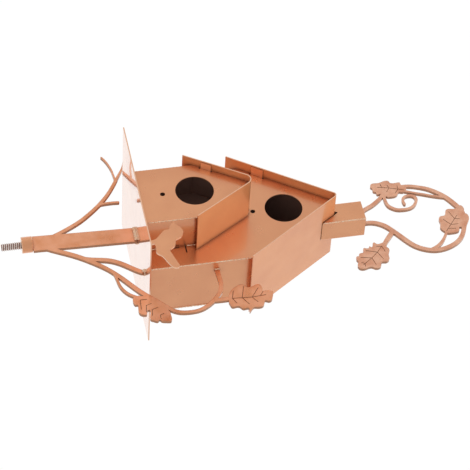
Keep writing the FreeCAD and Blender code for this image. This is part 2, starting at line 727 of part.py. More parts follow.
LEAF_STALK = [
    (0.5771, 0.2924, 2.8), (0.6571, 0.2769, 2.6), (0.7180, 0.2701, 2.6),
    (0.7861, 0.2614, 2.6), (0.8698, 0.2352, 2.8), (0.9379, 0.1946, 2.8),
    (0.9845, 0.1462, 2.8), (1.0191, 0.0987, 2.8),
]


def make_bracket():
    """Branch bracket: trunk, boughs, twigs and two oak leaves cut from one thick sheet."""
    sheet = size("cut_sheet")
    width = size("stem_width")
    under = -size("plate_sheet")
    trunk = size("trunk_height")
    foot = size("trunk_foot_shift") - size("head_offset")
    head = size("trunk_head_shift")
    edge = size("plate_width") / 2
    wall = size("big_width") / 2
    knob = size("knob_radius")
    passing = edge + size("bough_clearance")
    left_tip = edge + size("left_reach")
    branch_width = size("branch_width")

    def on_bough(shares, reach):
        """Points of a bough from its shares of reach and height, with any width kept."""
        return [(out * reach, under - drop * trunk, *width) for out, drop, *width in shares]

    half_foot = size("trunk_foot_width") / 2
    half_head = size("trunk_head_width") / 2
    outlines = [straight([
        (foot - half_foot, under - trunk),
        (foot + half_foot, under - trunk),
        (head + half_head, under),
        (head - half_head, under),
    ])]
    outlines.append(stem(on_bough(LEFT_BOUGH, -left_tip) + moved(LEFT_TIP, -left_tip, 0)))
    outlines.append(stem(on_bough(TWIG_ROUTE, -left_tip)))
    outlines.append(stem(on_bough(SPUR_ROUTE, -left_tip)))
    knob_centre = (wall + knob, size("knob_height"))
    right = on_bough(RIGHT_BOUGH, passing) + moved(CURL_ROUTE, passing, 0)
    right += moved(CURL_RETURN, wall, 0)
    right.append((*knob_centre, 2 * knob - 0.2))
    outlines.append(stem(right))
    outlines.append(disc(knob_centre, knob))
    branch = [(x, z, branch_width) for x, z in on_bough(BRANCH_ROUTE, passing)]
    branch.append((BRANCH_TIP_SHARE * passing, under - branch_width / 2, branch_width))
    outlines.append(stem(branch))
    outlines.append(stem(on_bough(LEAF_STALK, passing)))
    leaf_seat = (passing, under)
    outlines.append(leaf(moved(BOUGH_LEAF, *leaf_seat)))
    curl_seat = (passing + 16.2, 60.8)
    stalk = [(0, 0, width), (0.2, 6.2, width), (0, 15.2, width)]
    outlines.append(stem(moved(stalk, *curl_seat)))
    outlines.append(leaf(moved(CURL_LEAF, *curl_seat)))
    veins = moved_lines(BOUGH_LEAF_VEINS, *leaf_seat)
    veins += moved_lines(CURL_LEAF_VEINS, *curl_seat)
    blades = vein_cutters(veins, size("vein_width"), size("vein_depth"), sheet)
    place = Placement(Vector(size("head_offset"), 0, value_of(FLOOR)), Rotation())
    return add_shape("branch_bracket", cut_from_sheet(outlines, sheet, blades), place)


# Finial lines, from the middle of the chimney's top

FINIAL_LEFT = [
    (-11.4, 7.3, 4.2), (-14.3, 12.9, 4.2), (-18.3, 18.6, 4.2), (-23.2, 24.3, 4.0),
    (-29.1, 29.1, 3.6), (-35.7, 32.9, 3.2),
]
FINIAL_TENDRIL = [
    (-30.3, 30.6, 3.2), (-22.3, 28.8, 3.2), (-16.4, 29.0, 3.2), (-11.2, 30.5, 3.3),
    (-7.8, 33.6, 3.4), (-5.2, 37.6, 3.2), (-4.2, 43.5, 3.1), (-4.5, 50.0, 3.0), (-7.0, 55.4, 3.0),
    (-11.6, 59.2, 3.0), (-16.9, 60.9, 3.2), (-20.9, 59.0, 3.2), (-22.3, 54.5, 3.0),
    (-21.3, 50.0, 2.8), (-18.4, 47.4, 2.8), (-14.7, 46.8, 2.8), (-11.3, 47.4, 2.8),
]
FINIAL_LOOP = [
    (-35.6, 47.3, 3.8), (-35.9, 54.9, 3.8), (-34.6, 62.0, 3.8), (-32.3, 68.4, 3.9),
    (-29.2, 75.4, 4.2), (-24.1, 82.4, 4.5), (-17.6, 89.1, 4.8), (-11.4, 93.9, 5.0),
    (-4.4, 98.0, 5.2), (2.2, 101.4, 5.0), (9.9, 103.4, 4.8), (19.6, 102.8, 4.8),
    (30.4, 99.4, 4.8), (39.4, 95.3, 4.8), (47.0, 88.8, 4.6), (51.9, 80.8, 4.6), (54.9, 71.4, 4.6),
    (55.3, 61.9, 4.6), (52.7, 53.3, 4.6), (47.7, 45.1, 4.8), (40.5, 38.5, 5.0), (31.7, 32.5, 5.0),
    (23.3, 26.7, 4.8), (15.6, 20.6, 4.8), (10.5, 13.5, 4.6),
]
FINIAL_STRAND = [
    (-29.1, 52.0, 2.8), (-26.7, 57.5, 2.6), (-24.2, 63.6, 2.4), (-22.0, 69.5, 2.4),
    (-19.5, 75.3, 2.4), (-17.3, 81.2, 2.6), (-15.3, 87.5, 2.8), (-13.9, 92.9, 3.0),
]
FINIAL_RIGHT_STALK = [
    (23.3, 26.7, 4.8), (28.9, 22.0, 5.0), (34.8, 17.2, 4.8), (41.0, 12.4, 4.4), (46.3, 6.9, 4.0),
]
FINIAL_TOP_STALK = [
    (29.1, 82.5, 2.8), (34.7, 79.5, 2.8), (40.3, 76.2, 3.0), (45.8, 72.0, 3.4), (50.3, 66.9, 3.6),
    (53.5, 60.5, 3.6),
]


def make_finial():
    """Finial: tendrils and three oak leaves cut from one thick sheet, on two feet."""
    sheet = size("cut_sheet")
    width = size("stem_width")
    foot = size("chimney_width") / 2 - size("foot_inset")
    outlines = [
        stem([(-foot, width / 2, width)] + FINIAL_LEFT),
        stem(FINIAL_TENDRIL),
        stem(FINIAL_LOOP + [(foot, width / 2, width)]),
        stem(FINIAL_STRAND),
        stem(FINIAL_RIGHT_STALK),
        stem(FINIAL_TOP_STALK),
        leaf(LEFT_FINIAL_LEAF),
        leaf(RIGHT_FINIAL_LEAF),
        leaf(TOP_FINIAL_LEAF),
    ]
    veins = LEFT_FINIAL_VEINS + RIGHT_FINIAL_VEINS + TOP_FINIAL_VEINS
    blades = vein_cutters(veins, size("vein_width"), size("vein_depth"), sheet)
    height = value_of(FLOOR) + value_of(CHIMNEY_TOP)
    seat = Vector(size("head_offset"), value_of(CHIMNEY_MIDDLE), height)
    return add_shape("finial", cut_from_sheet(outlines, sheet, blades), Placement(seat, Rotation()))


# Bird's edge, from the plate's front right corner, foot to beak, over the back to the tail

BIRD_OUTLINE = [
    (-4.7, 3.0), (-8.0, 6.8), (-12.0, 10.5), (-15.0, 13.4), (-16.6, 16.2), (-16.9, 19.6),
    (-20.2, 20.7), (-23.5, 23.3), (-26.0, 25.7), (-22.9, 26.7), (-18.9, 29.7), (-14.7, 32.1),
    (-11.0, 32.4), (-6.8, 30.4), (-4.3, 27.6), (-2.4, 24.0), (2.5, 22.5), (6.6, 19.8), (8.7, 16.5),
    (11.2, 15.8), (13.6, 16.5), (20.0, 18.3), (27.6, 20.7), (31.5, 21.2), (33.0, 19.0),
    (32.0, 15.8), (28.8, 13.3), (21.5, 9.8), (15.5, 6.8), (12.6, 3.5), (9.5, 2.5), (4.3, 2.9),
    (-0.6, 2.6),
]
BIRD_FOOT = [(-5.0, 0.0), (-0.6, 0.0), (-0.6, 5.0), (-6.0, 6.0)]


def make_bird():
    """Bird silhouette cut from sheet, standing on the plate's front right corner."""
    sheet = size("bird_sheet")
    shape = cut_from_sheet([leaf(BIRD_OUTLINE), straight(BIRD_FOOT)], sheet)
    across = size("head_offset") + size("plate_width") / 2
    depth = value_of(FRONT_EDGE) + sheet / 2
    place = Placement(Vector(across, depth, value_of(FLOOR)), Rotation())
    return add_shape("bird_silhouette", shape, place)


# Weld beads: sectors of a round bar laid in or on a corner

ALONG_X = Rotation(Vector(1, 1, 1), 120)


def add_bead(name, place, length, start, sweep, radius="bead_radius", lying=False):
    """One bead: upright from its place, or lying to the right, filling a sector of its circle."""
    bead = doc.addObject("Part::Cylinder", name)
    bead.setExpression("Radius", f"Params.{radius}")
    bead.setExpression("Height", length)
    bead.Angle = sweep
    turned = Rotation(Vector(0, 0, 1), start)
    bead.Placement = Placement(Vector(), ALONG_X.multiply(turned) if lying else turned)
    across, depth, up = place
    bead.setExpression("Placement.Base.x", f"Params.head_offset + {across}")
    bead.setExpression("Placement.Base.y", depth)
    bead.setExpression("Placement.Base.z", f"{FLOOR} + {up}")
    return bead


def group(label, beads):
    """Beads of one kind as one node of separate solids."""
    compound = doc.addObject("Part::Compound", label)
    compound.Label = label
    compound.Links = beads
    doc.recompute()
    return compound


def make_corner_welds(house, seams):
    """Half-round beads down the corners of a house, on its side faces."""
    side = f"Params.{house}_width / 2"
    below_roof = f"{side} + Params.bead_radius"
    length = roof_height(house, below_roof, "Params.sheet + Params.seat_gap")
    beads = []
    for index, seam in enumerate(seams):
        right = add_bead(f"{house}_corner_r{index}", (side, seam, "0"), length, -90, 180)
        left = add_bead(f"{house}_corner_l{index}", (f"-{side}", seam, "0"), length, 90, 180)
        beads += [right, left]
    return group(f"{house}_corner_welds", beads)


def make_join_welds():
    """Short beads where the small house's side walls meet the big front panel."""
    side = "Params.small_width / 2"
    low = "0"
    high = f"({wall_height('small')} - Params.stitch_length - Params.seat_gap - 2 * Params.bead_radius)"
    beads = []
    for index, up in enumerate((low, high)):
        spot_right = (side, BIG_FACE, up)
        spot_left = (f"-{side}", BIG_FACE, up)
        length = "Params.stitch_length"
        beads.append(add_bead(f"join_r{index}", spot_right, length, -90, 90))
        beads.append(add_bead(f"join_l{index}", spot_left, length, 180, 90))
    return group("small_join_welds", beads)


def make_chimney_weld():
    """Bead up the chimney's front right edge."""
    half = "Params.chimney_width / 2"
    bottom = roof_height("big", f"({half} - Params.bead_radius)", "-Params.seat_gap")
    place = (half, CHIMNEY_FRONT, bottom)
    bead = add_bead("chimney_bead", place, f"{CHIMNEY_TOP} - {bottom}", -180, 270)
    return group("chimney_seam_weld", [bead])


def lying_pair(name, middle, up, length, face, gap_side, upward, radius="fillet_radius"):
    """Two beads along X, in the corners before and behind a standing sheet."""
    start = f"({middle}) - ({length}) / 2"
    front = (start, f"{gap_side} - {face} / 2", up)
    back = (start, f"{gap_side} + {face} / 2", up)
    angles = (90, 0) if upward else (180, 270)
    return [
        add_bead(f"{name}_front", front, length, angles[0], 90, radius, lying=True),
        add_bead(f"{name}_back", back, length, angles[1], 90, radius, lying=True),
    ]


def make_bracket_welds():
    """Beads at the trunk's foot on the boss, and under the plate at the trunk and branch tip."""
    sheet = "Params.cut_sheet"
    on_boss = "(-Params.trunk_height - Params.plate_sheet)"
    under = "(-Params.plate_sheet)"
    passing = "(Params.plate_width / 2 + Params.bough_clearance)"
    foot = lying_pair(
        "trunk_foot", "-Params.head_offset", on_boss, "1.5 * Params.boss_radius", sheet, "0", True)
    head = lying_pair(
        "trunk_head", "Params.trunk_head_shift", under, "Params.trunk_head_width", sheet, "0", False,
        "seam_radius")
    tip = lying_pair(
        "branch_tip", f"{BRANCH_TIP_SHARE} * {passing}", under, "Params.tip_bead", sheet, "0", False,
        "seam_radius")
    return [
        group("trunk_foot_welds", foot),
        group("trunk_head_welds", head),
        group("branch_tip_welds", tip),
    ]


def make_small_welds():
    """Beads at the finial's feet, at the bough's knob on the big wall and at the bird's foot."""
    foot = "(Params.chimney_width / 2 - Params.foot_inset)"
    rim = CHIMNEY_TOP
    length = "Params.tip_bead"
    feet = []
    for side, middle in (("left", f"-{foot}"), ("right", foot)):
        feet += lying_pair(
            f"finial_{side}", middle, rim, length, "Params.cut_sheet", CHIMNEY_MIDDLE, True)
    wall = "Params.big_width / 2"
    low = f"Params.knob_height - {length} / 2"
    knob = [
        add_bead("knob_front", (wall, "-Params.cut_sheet / 2", low), length, -90, 90, "fillet_radius"),
        add_bead("knob_back", (wall, "Params.cut_sheet / 2", low), length, 0, 90, "fillet_radius"),
    ]
    behind = f"{FRONT_EDGE} + Params.bird_sheet"
    bird_left = "Params.plate_width / 2 - Params.tip_bead"
    bird = add_bead("bird_bead", (bird_left, behind, "0"), "Params.tip_bead - Params.bead_radius", 0, 90,
                    "bead_radius", lying=True)
    return [
        group("finial_foot_welds", feet),
        group("knob_welds", knob),
        group("bird_foot_weld", [bird]),
    ]


# Assembly

small_front = f"({SMALL_FACE} + Params.sheet)"
small_back = f"({BIG_FACE} - Params.seat_gap)"
big_front = f"({BIG_FACE} + Params.sheet)"
big_back = f"({BACK_FACE} - Params.sheet)"

pieces = [
    make_stud(),
    make_boss(),
    make_bracket(),
    make_base_plate(),
    make_front_panel("small", SMALL_FACE),
    make_side_wall("small_left_wall", "small", -1, small_front, BIG_FACE),
    make_side_wall("small_right_wall", "small", 1, small_front, BIG_FACE),
    make_roof("small", f"{SMALL_FACE} - Params.small_front_eave", small_back),
    make_front_panel("big", BIG_FACE),
    make_side_wall("big_left_wall", "big", -1, big_front, big_back),
    make_side_wall("big_right_wall", "big", 1, big_front, big_back),
]
back_body, back_sketch = make_gable_panel("big_back_panel", "big", big_back)
finish_gable(back_body, add_pad(back_body, back_sketch, "Params.sheet"), "big")
pieces += [
    back_body,
    make_roof("big", f"{BIG_FACE} - Params.big_front_eave", f"{BACK_FACE} + Params.big_back_eave"),
    make_chimney(),
    make_chimney_cap(),
    make_finial(),
    make_bird(),
    make_corner_welds("small", [small_front]),
    make_corner_welds("big", [big_front, big_back]),
    make_join_welds(),
    make_chimney_weld(),
]
pieces += make_bracket_welds()
pieces += make_small_welds()
doc.recompute()

# Every object is tested before anything is written

for item in doc.Objects:
    if "Invalid" in item.State or "Error" in item.State:
        raise RuntimeError(f"{item.Name} failed: {item.State}")
for piece in pieces:
    if piece.Shape.isNull() or not piece.Shape.isValid() or not piece.Shape.Solids:
        raise RuntimeError(f"{piece.Label} has no valid solid")

os.makedirs("parts", exist_ok=True)
for piece in pieces:
    piece.Shape.exportStep(f"parts/{piece.Label}.step")
    box = piece.Shape.BoundBox
    print(f"{piece.Label}: {len(piece.Shape.Solids)} solid(s), {piece.Shape.Volume:.0f} mm3,",
          f"x {box.XMin:.1f} to {box.XMax:.1f}, y {box.YMin:.1f} to {box.YMax:.1f},",
          f"z {box.ZMin:.1f} to {box.ZMax:.1f}")
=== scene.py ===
"""Looks of a pole-top birdhouse: welded sheet metal with a copper-coloured metallic coating.

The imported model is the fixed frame. This script gives every CAD node its finish, cuts the stud's
thread, lays rippled weld beads in place of the plain ones, and sets up the studio and the camera.
"""

from __future__ import annotations

import logging
import math
from dataclasses import dataclass, field
from enum import Enum

import bpy
from mathutils import Matrix, Vector

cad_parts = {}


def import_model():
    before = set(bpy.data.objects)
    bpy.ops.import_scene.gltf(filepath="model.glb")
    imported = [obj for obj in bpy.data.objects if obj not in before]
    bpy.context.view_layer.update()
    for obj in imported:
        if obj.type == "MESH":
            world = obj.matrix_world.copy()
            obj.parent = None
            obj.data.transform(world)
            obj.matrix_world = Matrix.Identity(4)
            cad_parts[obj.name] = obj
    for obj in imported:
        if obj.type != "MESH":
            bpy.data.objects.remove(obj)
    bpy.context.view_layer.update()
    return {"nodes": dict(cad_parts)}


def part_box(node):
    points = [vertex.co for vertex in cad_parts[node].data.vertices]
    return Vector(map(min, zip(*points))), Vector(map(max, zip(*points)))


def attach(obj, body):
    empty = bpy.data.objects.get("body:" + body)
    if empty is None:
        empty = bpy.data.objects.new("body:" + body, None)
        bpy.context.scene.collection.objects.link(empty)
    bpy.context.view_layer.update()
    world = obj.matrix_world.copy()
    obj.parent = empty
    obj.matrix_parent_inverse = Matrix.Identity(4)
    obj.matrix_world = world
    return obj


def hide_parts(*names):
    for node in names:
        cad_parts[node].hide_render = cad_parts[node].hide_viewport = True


LOG = logging.getLogger("birdhouse")
MM = 0.001
BODY = "root"

Point = tuple[float, float, float]
Line = tuple[Point, Point]
Tree = bpy.types.NodeTree
Node = bpy.types.Node
Socket = bpy.types.NodeSocket
Looks = dict[str, object]

MATH = "ShaderNodeMath"
VECTOR_MATH = "ShaderNodeVectorMath"
MAP_RANGE = "ShaderNodeMapRange"
NOISE = "ShaderNodeTexNoise"
MIX = "ShaderNodeMix"

# Places of a Mix node's colour sockets, which share their names with its number sockets
MIX_SHARE = 0
MIX_FIRST = 6
MIX_SECOND = 7
MIX_COLOUR = 2

# Nearly all of a noise texture's values lie between these, and the narrower pair gives it contrast
NOISE_LOW = 0.3
NOISE_HIGH = 0.7
CLOUD_LOW = 0.32
CLOUD_HIGH = 0.68

# A normal's part along an axis, where an edge begins and where it is whole
EDGE_ALONG = (0.45, 0.7)
EDGE_ACROSS = (0.75, 0.35)


# Small helpers


def linear(hex_colour: str) -> tuple[float, float, float, float]:
    """Turns an sRGB hex colour into linear RGBA.

    Args:
        hex_colour: six hex digits, such as "DAA37F".

    Returns:
        Linear red, green, blue and an alpha of 1.
    """
    channels = [int(hex_colour[i:i + 2], 16) / 255 for i in (0, 2, 4)]
    steps = [c / 12.92 if c <= 0.04045 else ((c + 0.055) / 1.055) ** 2.4 for c in channels]
    return (steps[0], steps[1], steps[2], 1.0)


def add_node(tree: Tree, kind: str, sockets: dict | None = None, **settings: object) -> Node:
    """Adds one node with its settings, socket values and links.

    Args:
        tree: shader or geometry tree that the node goes into.
        kind: Blender's name of the node's type.
        sockets: input name or number, with a value or with what feeds it: an output, or a node
            that feeds it from its first output.
        settings: properties of the node itself.

    Returns:
        The new node.
    """
    node = tree.nodes.new(kind)
    for name, value in settings.items():
        setattr(node, name, value)
    for key, value in (sockets or {}).items():
        if isinstance(value, Node):
            value = value.outputs[0]
        if isinstance(value, Socket):
            tree.links.new(value, node.inputs[key])
        else:
            node.inputs[key].default_value = value
    return node


def per_mm(size: float) -> float:
    """Texture scale, on Object coordinates in metres, of a pattern of that size in millimetres."""
    return 1.0 / (size * MM)


# Finishes


class Surface(Enum):
    """How a coated piece was made, which decides what its faces show."""

    SHEET = "sheet"
    TURNED = "turned bar"
    WELD = "weld bead"


class Axis(Enum):
    """An axis of the row frame, by its number."""

    X = 0
    Y = 1
    Z = 2


@dataclass(frozen=True)
class CutEdge:
    """Where a sheet's cut edges are, and how they look.

    An edge is a face that looks across the axis, or, with along set, one that looks along it.
    Stripes are the marks of a torch across the edge: their share of the brightness, and their
    size in millimetres. The metallic is given where it differs from the faces'. The colour is
    painted light: a pale edge gets a painted highlight, and a dark torched one is partly burnt
    and partly painted shade.
    """

    axis: Axis
    along: bool = False
    # Pale default colour: a painted highlight along the cut edge
    colour: str = "FFC9A4"
    metallic: float | None = None
    roughness: float = 0.3
    stripes: float = 0.0
    stripe_width: float = 0.9
    stripe_length: float = 12.0

    def limits(self) -> tuple[float, float]:
        """Normal's parts along the axis at which the edge begins and at which it is whole."""
        return EDGE_ALONG if self.along else EDGE_ACROSS


@dataclass(frozen=True)
class Finish:
    """A real finish, named for what it is."""

    name: str

    def new_tree(self) -> tuple[bpy.types.Material, Tree]:
        """Makes an empty node material.

        Returns:
            The material and its tree.
        """
        material = bpy.data.materials.new(self.name)
        material.use_nodes = True
        material.node_tree.nodes.clear()
        return material, material.node_tree


@dataclass(frozen=True)
class HouseRoom:
    """The space inside one house, where the spray of the coating hardly reached.

    Its sizes are in metres, in the row frame.
    """

    middle: float
    half_width: float
    front: float
    back: float
    floor: float
    peak: float
    slope: float

    @classmethod
    def of(cls, house: str, back_node: str | None = None) -> HouseRoom:
        """Reads a house's room from its CAD nodes.

        Args:
            house: "small" or "big".
            back_node: the panel that closes the room; without one, it is as deep as its walls.

        Returns:
            The room between the walls, panels, base plate and roof.
        """
        left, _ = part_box(f"{house}_left_wall")
        _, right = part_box(f"{house}_right_wall")
        _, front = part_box(f"{house}_front_panel")
        roof_low, roof_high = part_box(f"{house}_roof")
        back = front.y + (right.y - left.y)
        if back_node is not None:
            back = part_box(back_node)[0].y
        return cls(
            middle=(left.x + right.x) / 2,
            half_width=(right.x - left.x) / 2,
            front=left.y,
            back=back,
            floor=left.z,
            peak=roof_high.z,
            slope=(roof_high.z - roof_low.z) / ((roof_high.x - roof_low.x) / 2),
        )


@dataclass(frozen=True)
class CopperCoat(Finish):
    """Copper-coloured metallic powder coat, sprayed on and baked.

    Fine metal flake in a clear binder: it mirrors the room in its own colour, two bounces turn it
    dark red, and the clear top film turns it almost white at a flat angle. The cured film has a
    soft orange peel and is a little cloudy. Inside corners, over a reach of some millimetres, and
    the floors of engraved veins get a painted shade; inside the houses little spray got in.

    Sizes and reaches are in millimetres. The open face and the tight corner are the shares of
    open space between which the painted corner shade grows. The veins' rim and floor are
    distances from the sheet's middle.
    """

    surface: Surface = Surface.SHEET
    light: str = "F4AC7B"
    shade: str = "EBA172"
    bare: str = "9F7B6E"
    # Colour of the painted shade on the floors of engraved veins
    vein_shade: str = "A8714F"
    # Colour of the painted shade in inside corners and narrow gaps
    corner: str = "7E3B20"
    metallic: float = 0.85
    roughness: float = 0.31
    film_roughness: float = 0.05
    film_index: float = 1.5
    bare_metallic: float = 0.25
    bare_dullness: float = 0.4
    cloud: float = 38.0
    smear: float = 12.0
    smear_spread: tuple[float, float] = (-0.04, 0.05)
    peel: float = 2.6
    peel_height: float = 0.1
    peel_strength: float = 0.03
    flake: float = 0.55
    flake_contrast: float = 0.12
    turning_feed: float = 0.7
    soft_edge: float = 0.0
    # Reach and strongest share of the painted shade in inside corners
    corner_shade_reach: float = 6.5
    corner_shade_most: float = 0.8
    open_face: float = 0.85
    tight_corner: float = 0.35
    vein_rim: float = 1.35
    vein_floor: float = 1.1
    room_probe: float = 1.5
    ray_samples: int = 6
    edge: CutEdge | None = None
    vein_middle: float | None = None
    rooms: tuple[HouseRoom, ...] = ()

    def build(self) -> bpy.types.Material:
        """Makes the material.

        Returns:
            The finished material.
        """
        material, tree = self.new_tree()
        place = add_node(tree, "ShaderNodeTexCoord")
        spot = place.outputs["Object"]
        colour = self._flaked(tree, spot)
        # Painted shade in inside corners and narrow gaps
        if self.corner_shade_reach > 0.0:
            colour = self._painted_corner_shade(tree, colour)
        shading: Looks = {
            "Base Color": colour,
            "Metallic": self.metallic,
            "Roughness": self._roughness(tree, spot),
            "Coat Weight": 1.0,
            "Coat Roughness": self.film_roughness,
            "Coat IOR": self.film_index,
            "Normal": self._relief(tree, spot),
        }
        if self.edge is not None:
            shading |= self._cut_edges(tree, place, self.edge, shading)
        if self.rooms:
            shading |= self._unsprayed(tree, place, shading)
        shader = add_node(tree, "ShaderNodeBsdfPrincipled", shading)
        add_node(tree, "ShaderNodeOutputMaterial", {"Surface": shader})
        return material

    def _flaked(self, tree: Tree, spot: Socket) -> Socket:
        """Colour of the flake: cloudy over centimetres, and grainy flake by flake.

        Real flake is under 0.1 mm; it is drawn at about half a millimetre so that it shows.

        Args:
            tree: the material's tree.
            spot: Object coordinates.

        Returns:
            The colour.
        """
        cloud = add_node(tree, NOISE, {
            "Vector": spot, "Scale": per_mm(self.cloud), "Detail": 3.0, "Roughness": 0.45})
        cloudy = add_node(tree, MAP_RANGE, {
            "Value": cloud, "From Min": CLOUD_LOW, "From Max": CLOUD_HIGH})
        flake = add_node(tree, "ShaderNodeTexVoronoi", {
            "Vector": spot, "Scale": per_mm(self.flake)})
        grain = add_node(tree, "ShaderNodeSeparateColor", {"Color": flake.outputs["Color"]})
        share = add_node(tree, MATH, {0: grain, 1: self.flake_contrast, 2: cloudy},
                         operation="MULTIPLY_ADD")
        mixed = add_node(tree, MIX, {
            MIX_SHARE: share, MIX_FIRST: linear(self.shade), MIX_SECOND: linear(self.light)},
            data_type="RGBA")
        return mixed.outputs[MIX_COLOUR]

    def _painted_corner_shade(self, tree: Tree, colour: Socket) -> Socket:
        """Painted shade: darker colour in inside corners and narrow gaps, where little light gets
        in.

        Args:
            tree: the material's tree.
            colour: the coating's colour on open faces.

        Returns:
            The colour.
        """
        openness = add_node(tree, "ShaderNodeAmbientOcclusion", {
            "Distance": self.corner_shade_reach * MM}, samples=self.ray_samples)
        corner_shade_share = add_node(tree, MAP_RANGE, {
            "Value": openness.outputs["AO"], "From Min": self.open_face,
            "From Max": self.tight_corner, "To Max": self.corner_shade_most})
        mixed = add_node(tree, MIX, {
            MIX_SHARE: corner_shade_share, MIX_FIRST: colour, MIX_SECOND: linear(self.corner)},
            data_type="RGBA")
        return mixed.outputs[MIX_COLOUR]

    def _roughness(self, tree: Tree, spot: Socket) -> Node:
        """Roughness that wanders a little, as handling and baking leave it.

        Args:
            tree: the material's tree.
            spot: Object coordinates.

        Returns:
            Node with the roughness.
        """
        smear = add_node(tree, NOISE, {
            "Vector": spot, "Scale": per_mm(self.smear), "Detail": 2.0})
        smoother, rougher = self.smear_spread
        return add_node(tree, MAP_RANGE, {
            "Value": smear, "From Min": NOISE_LOW, "From Max": NOISE_HIGH,
            "To Min": self.roughness + smoother, "To Max": self.roughness + rougher})

    def _relief(self, tree: Tree, spot: Socket) -> Node:
        """Orange peel, with turning lines on a turned piece and softened edges on a torched one.

        Real turning lines are about 0.2 mm apart; they are drawn wider so that they show.

        Args:
            tree: the material's tree.
            spot: Object coordinates.

        Returns:
            Node with the normal.
        """
        height = add_node(tree, NOISE, {
            "Vector": spot, "Scale": per_mm(self.peel), "Detail": 1.0})
        if self.surface is Surface.TURNED:
            lines = add_node(tree, "ShaderNodeTexWave", {
                "Vector": spot, "Scale": per_mm(self.turning_feed) / (2 * math.pi),
                "Distortion": 0.4}, bands_direction="Z")
            height = add_node(tree, MATH, {0: height, 1: lines.outputs["Fac"]}, operation="ADD")
        bumps = {"Strength": self.peel_strength, "Distance": self.peel_height * MM,
                 "Height": height}
        if self.soft_edge > 0.0:
            bumps["Normal"] = add_node(tree, "ShaderNodeBevel", {
                "Radius": self.soft_edge * MM}, samples=self.ray_samples)
        return add_node(tree, "ShaderNodeBump", bumps)

    def _cut_edges(self, tree: Tree, place: Node, edge: CutEdge, faces: Looks) -> Looks:
        """Looks of the cut edges and, on an engraved sheet, of the veins' floors.

        Args:
            tree: the material's tree.
            place: Texture Coordinate node.
            edge: the edges.
            faces: what feeds the shader on the faces.

        Returns:
            What feeds the shader instead.
        """
        share = self._edge_share(tree, place, edge)
        # The edge colour is painted light: a highlight on pale edges, shade with burn on torched
        # ones
        mixed = add_node(tree, MIX, {
            MIX_SHARE: share, MIX_FIRST: faces["Base Color"], MIX_SECOND: linear(edge.colour)},
            data_type="RGBA")
        looks: Looks = {"Roughness": add_node(tree, MAP_RANGE, {
            "Value": share, "To Min": faces["Roughness"], "To Max": edge.roughness})}
        if edge.metallic is not None:
            looks["Metallic"] = add_node(tree, MAP_RANGE, {
                "Value": share, "To Min": faces["Metallic"], "To Max": edge.metallic})
        # Painted shade on the floors of the engraved veins
        if self.vein_middle is not None:
            floors = self._vein_shade_mask(tree, place, share, self.vein_middle)
            mixed = add_node(tree, MIX, {
                MIX_SHARE: floors, MIX_FIRST: mixed.outputs[MIX_COLOUR],
                MIX_SECOND: linear(self.vein_shade)}, data_type="RGBA")
        looks["Base Color"] = mixed.outputs[MIX_COLOUR]
        return looks

    def _edge_share(self, tree: Tree, place: Node, edge: CutEdge) -> Node:
        """1 on the sheet's cut edges, less in their stripes, and 0 on its faces.

        Args:
            tree: the material's tree.
            place: Texture Coordinate node.
            edge: the edges.

        Returns:
            Node with the mask.
        """
        begins, whole = edge.limits()
        facing = add_node(tree, "ShaderNodeSeparateXYZ", {"Vector": place.outputs["Normal"]})
        flat = add_node(tree, MATH, {0: facing.outputs[edge.axis.value]}, operation="ABSOLUTE")
        share = add_node(tree, MAP_RANGE, {"Value": flat, "From Min": begins, "From Max": whole})
        if edge.stripes == 0.0:
            return share
        across = per_mm(edge.stripe_width)
        stretched = add_node(tree, "ShaderNodeMapping", {
            "Vector": place.outputs["Object"],
            "Scale": (across, per_mm(edge.stripe_length), across)})
        stripes = add_node(tree, NOISE, {"Vector": stretched, "Scale": 1.0, "Detail": 2.0})
        scaled = add_node(tree, MAP_RANGE, {
            "Value": stripes, "From Min": NOISE_LOW, "From Max": NOISE_HIGH,
            "To Min": 1.0 - edge.stripes})
        return add_node(tree, MATH, {0: share, 1: scaled}, operation="MULTIPLY")

    def _vein_shade_mask(self, tree: Tree, place: Node, edge_share: Node, middle: float) -> Node:
        """1 on the floors of the engraved veins, which get painted shade, else 0.

        Args:
            tree: the material's tree.
            place: Texture Coordinate node.
            edge_share: node with the cut edges' mask.
            middle: the sheet's middle plane, y in millimetres.

        Returns:
            Node with the mask.
        """
        at = add_node(tree, "ShaderNodeSeparateXYZ", {"Vector": place.outputs["Object"]})
        depth = add_node(tree, MATH, {0: at.outputs["Y"], 1: middle * MM}, operation="SUBTRACT")
        off = add_node(tree, MATH, {0: depth}, operation="ABSOLUTE")
        sunk = add_node(tree, MAP_RANGE, {
            "Value": off, "From Min": self.vein_rim * MM, "From Max": self.vein_floor * MM})
        plain = add_node(tree, MATH, {0: 1.0, 1: edge_share}, operation="SUBTRACT")
        return add_node(tree, MATH, {0: sunk, 1: plain}, operation="MULTIPLY")

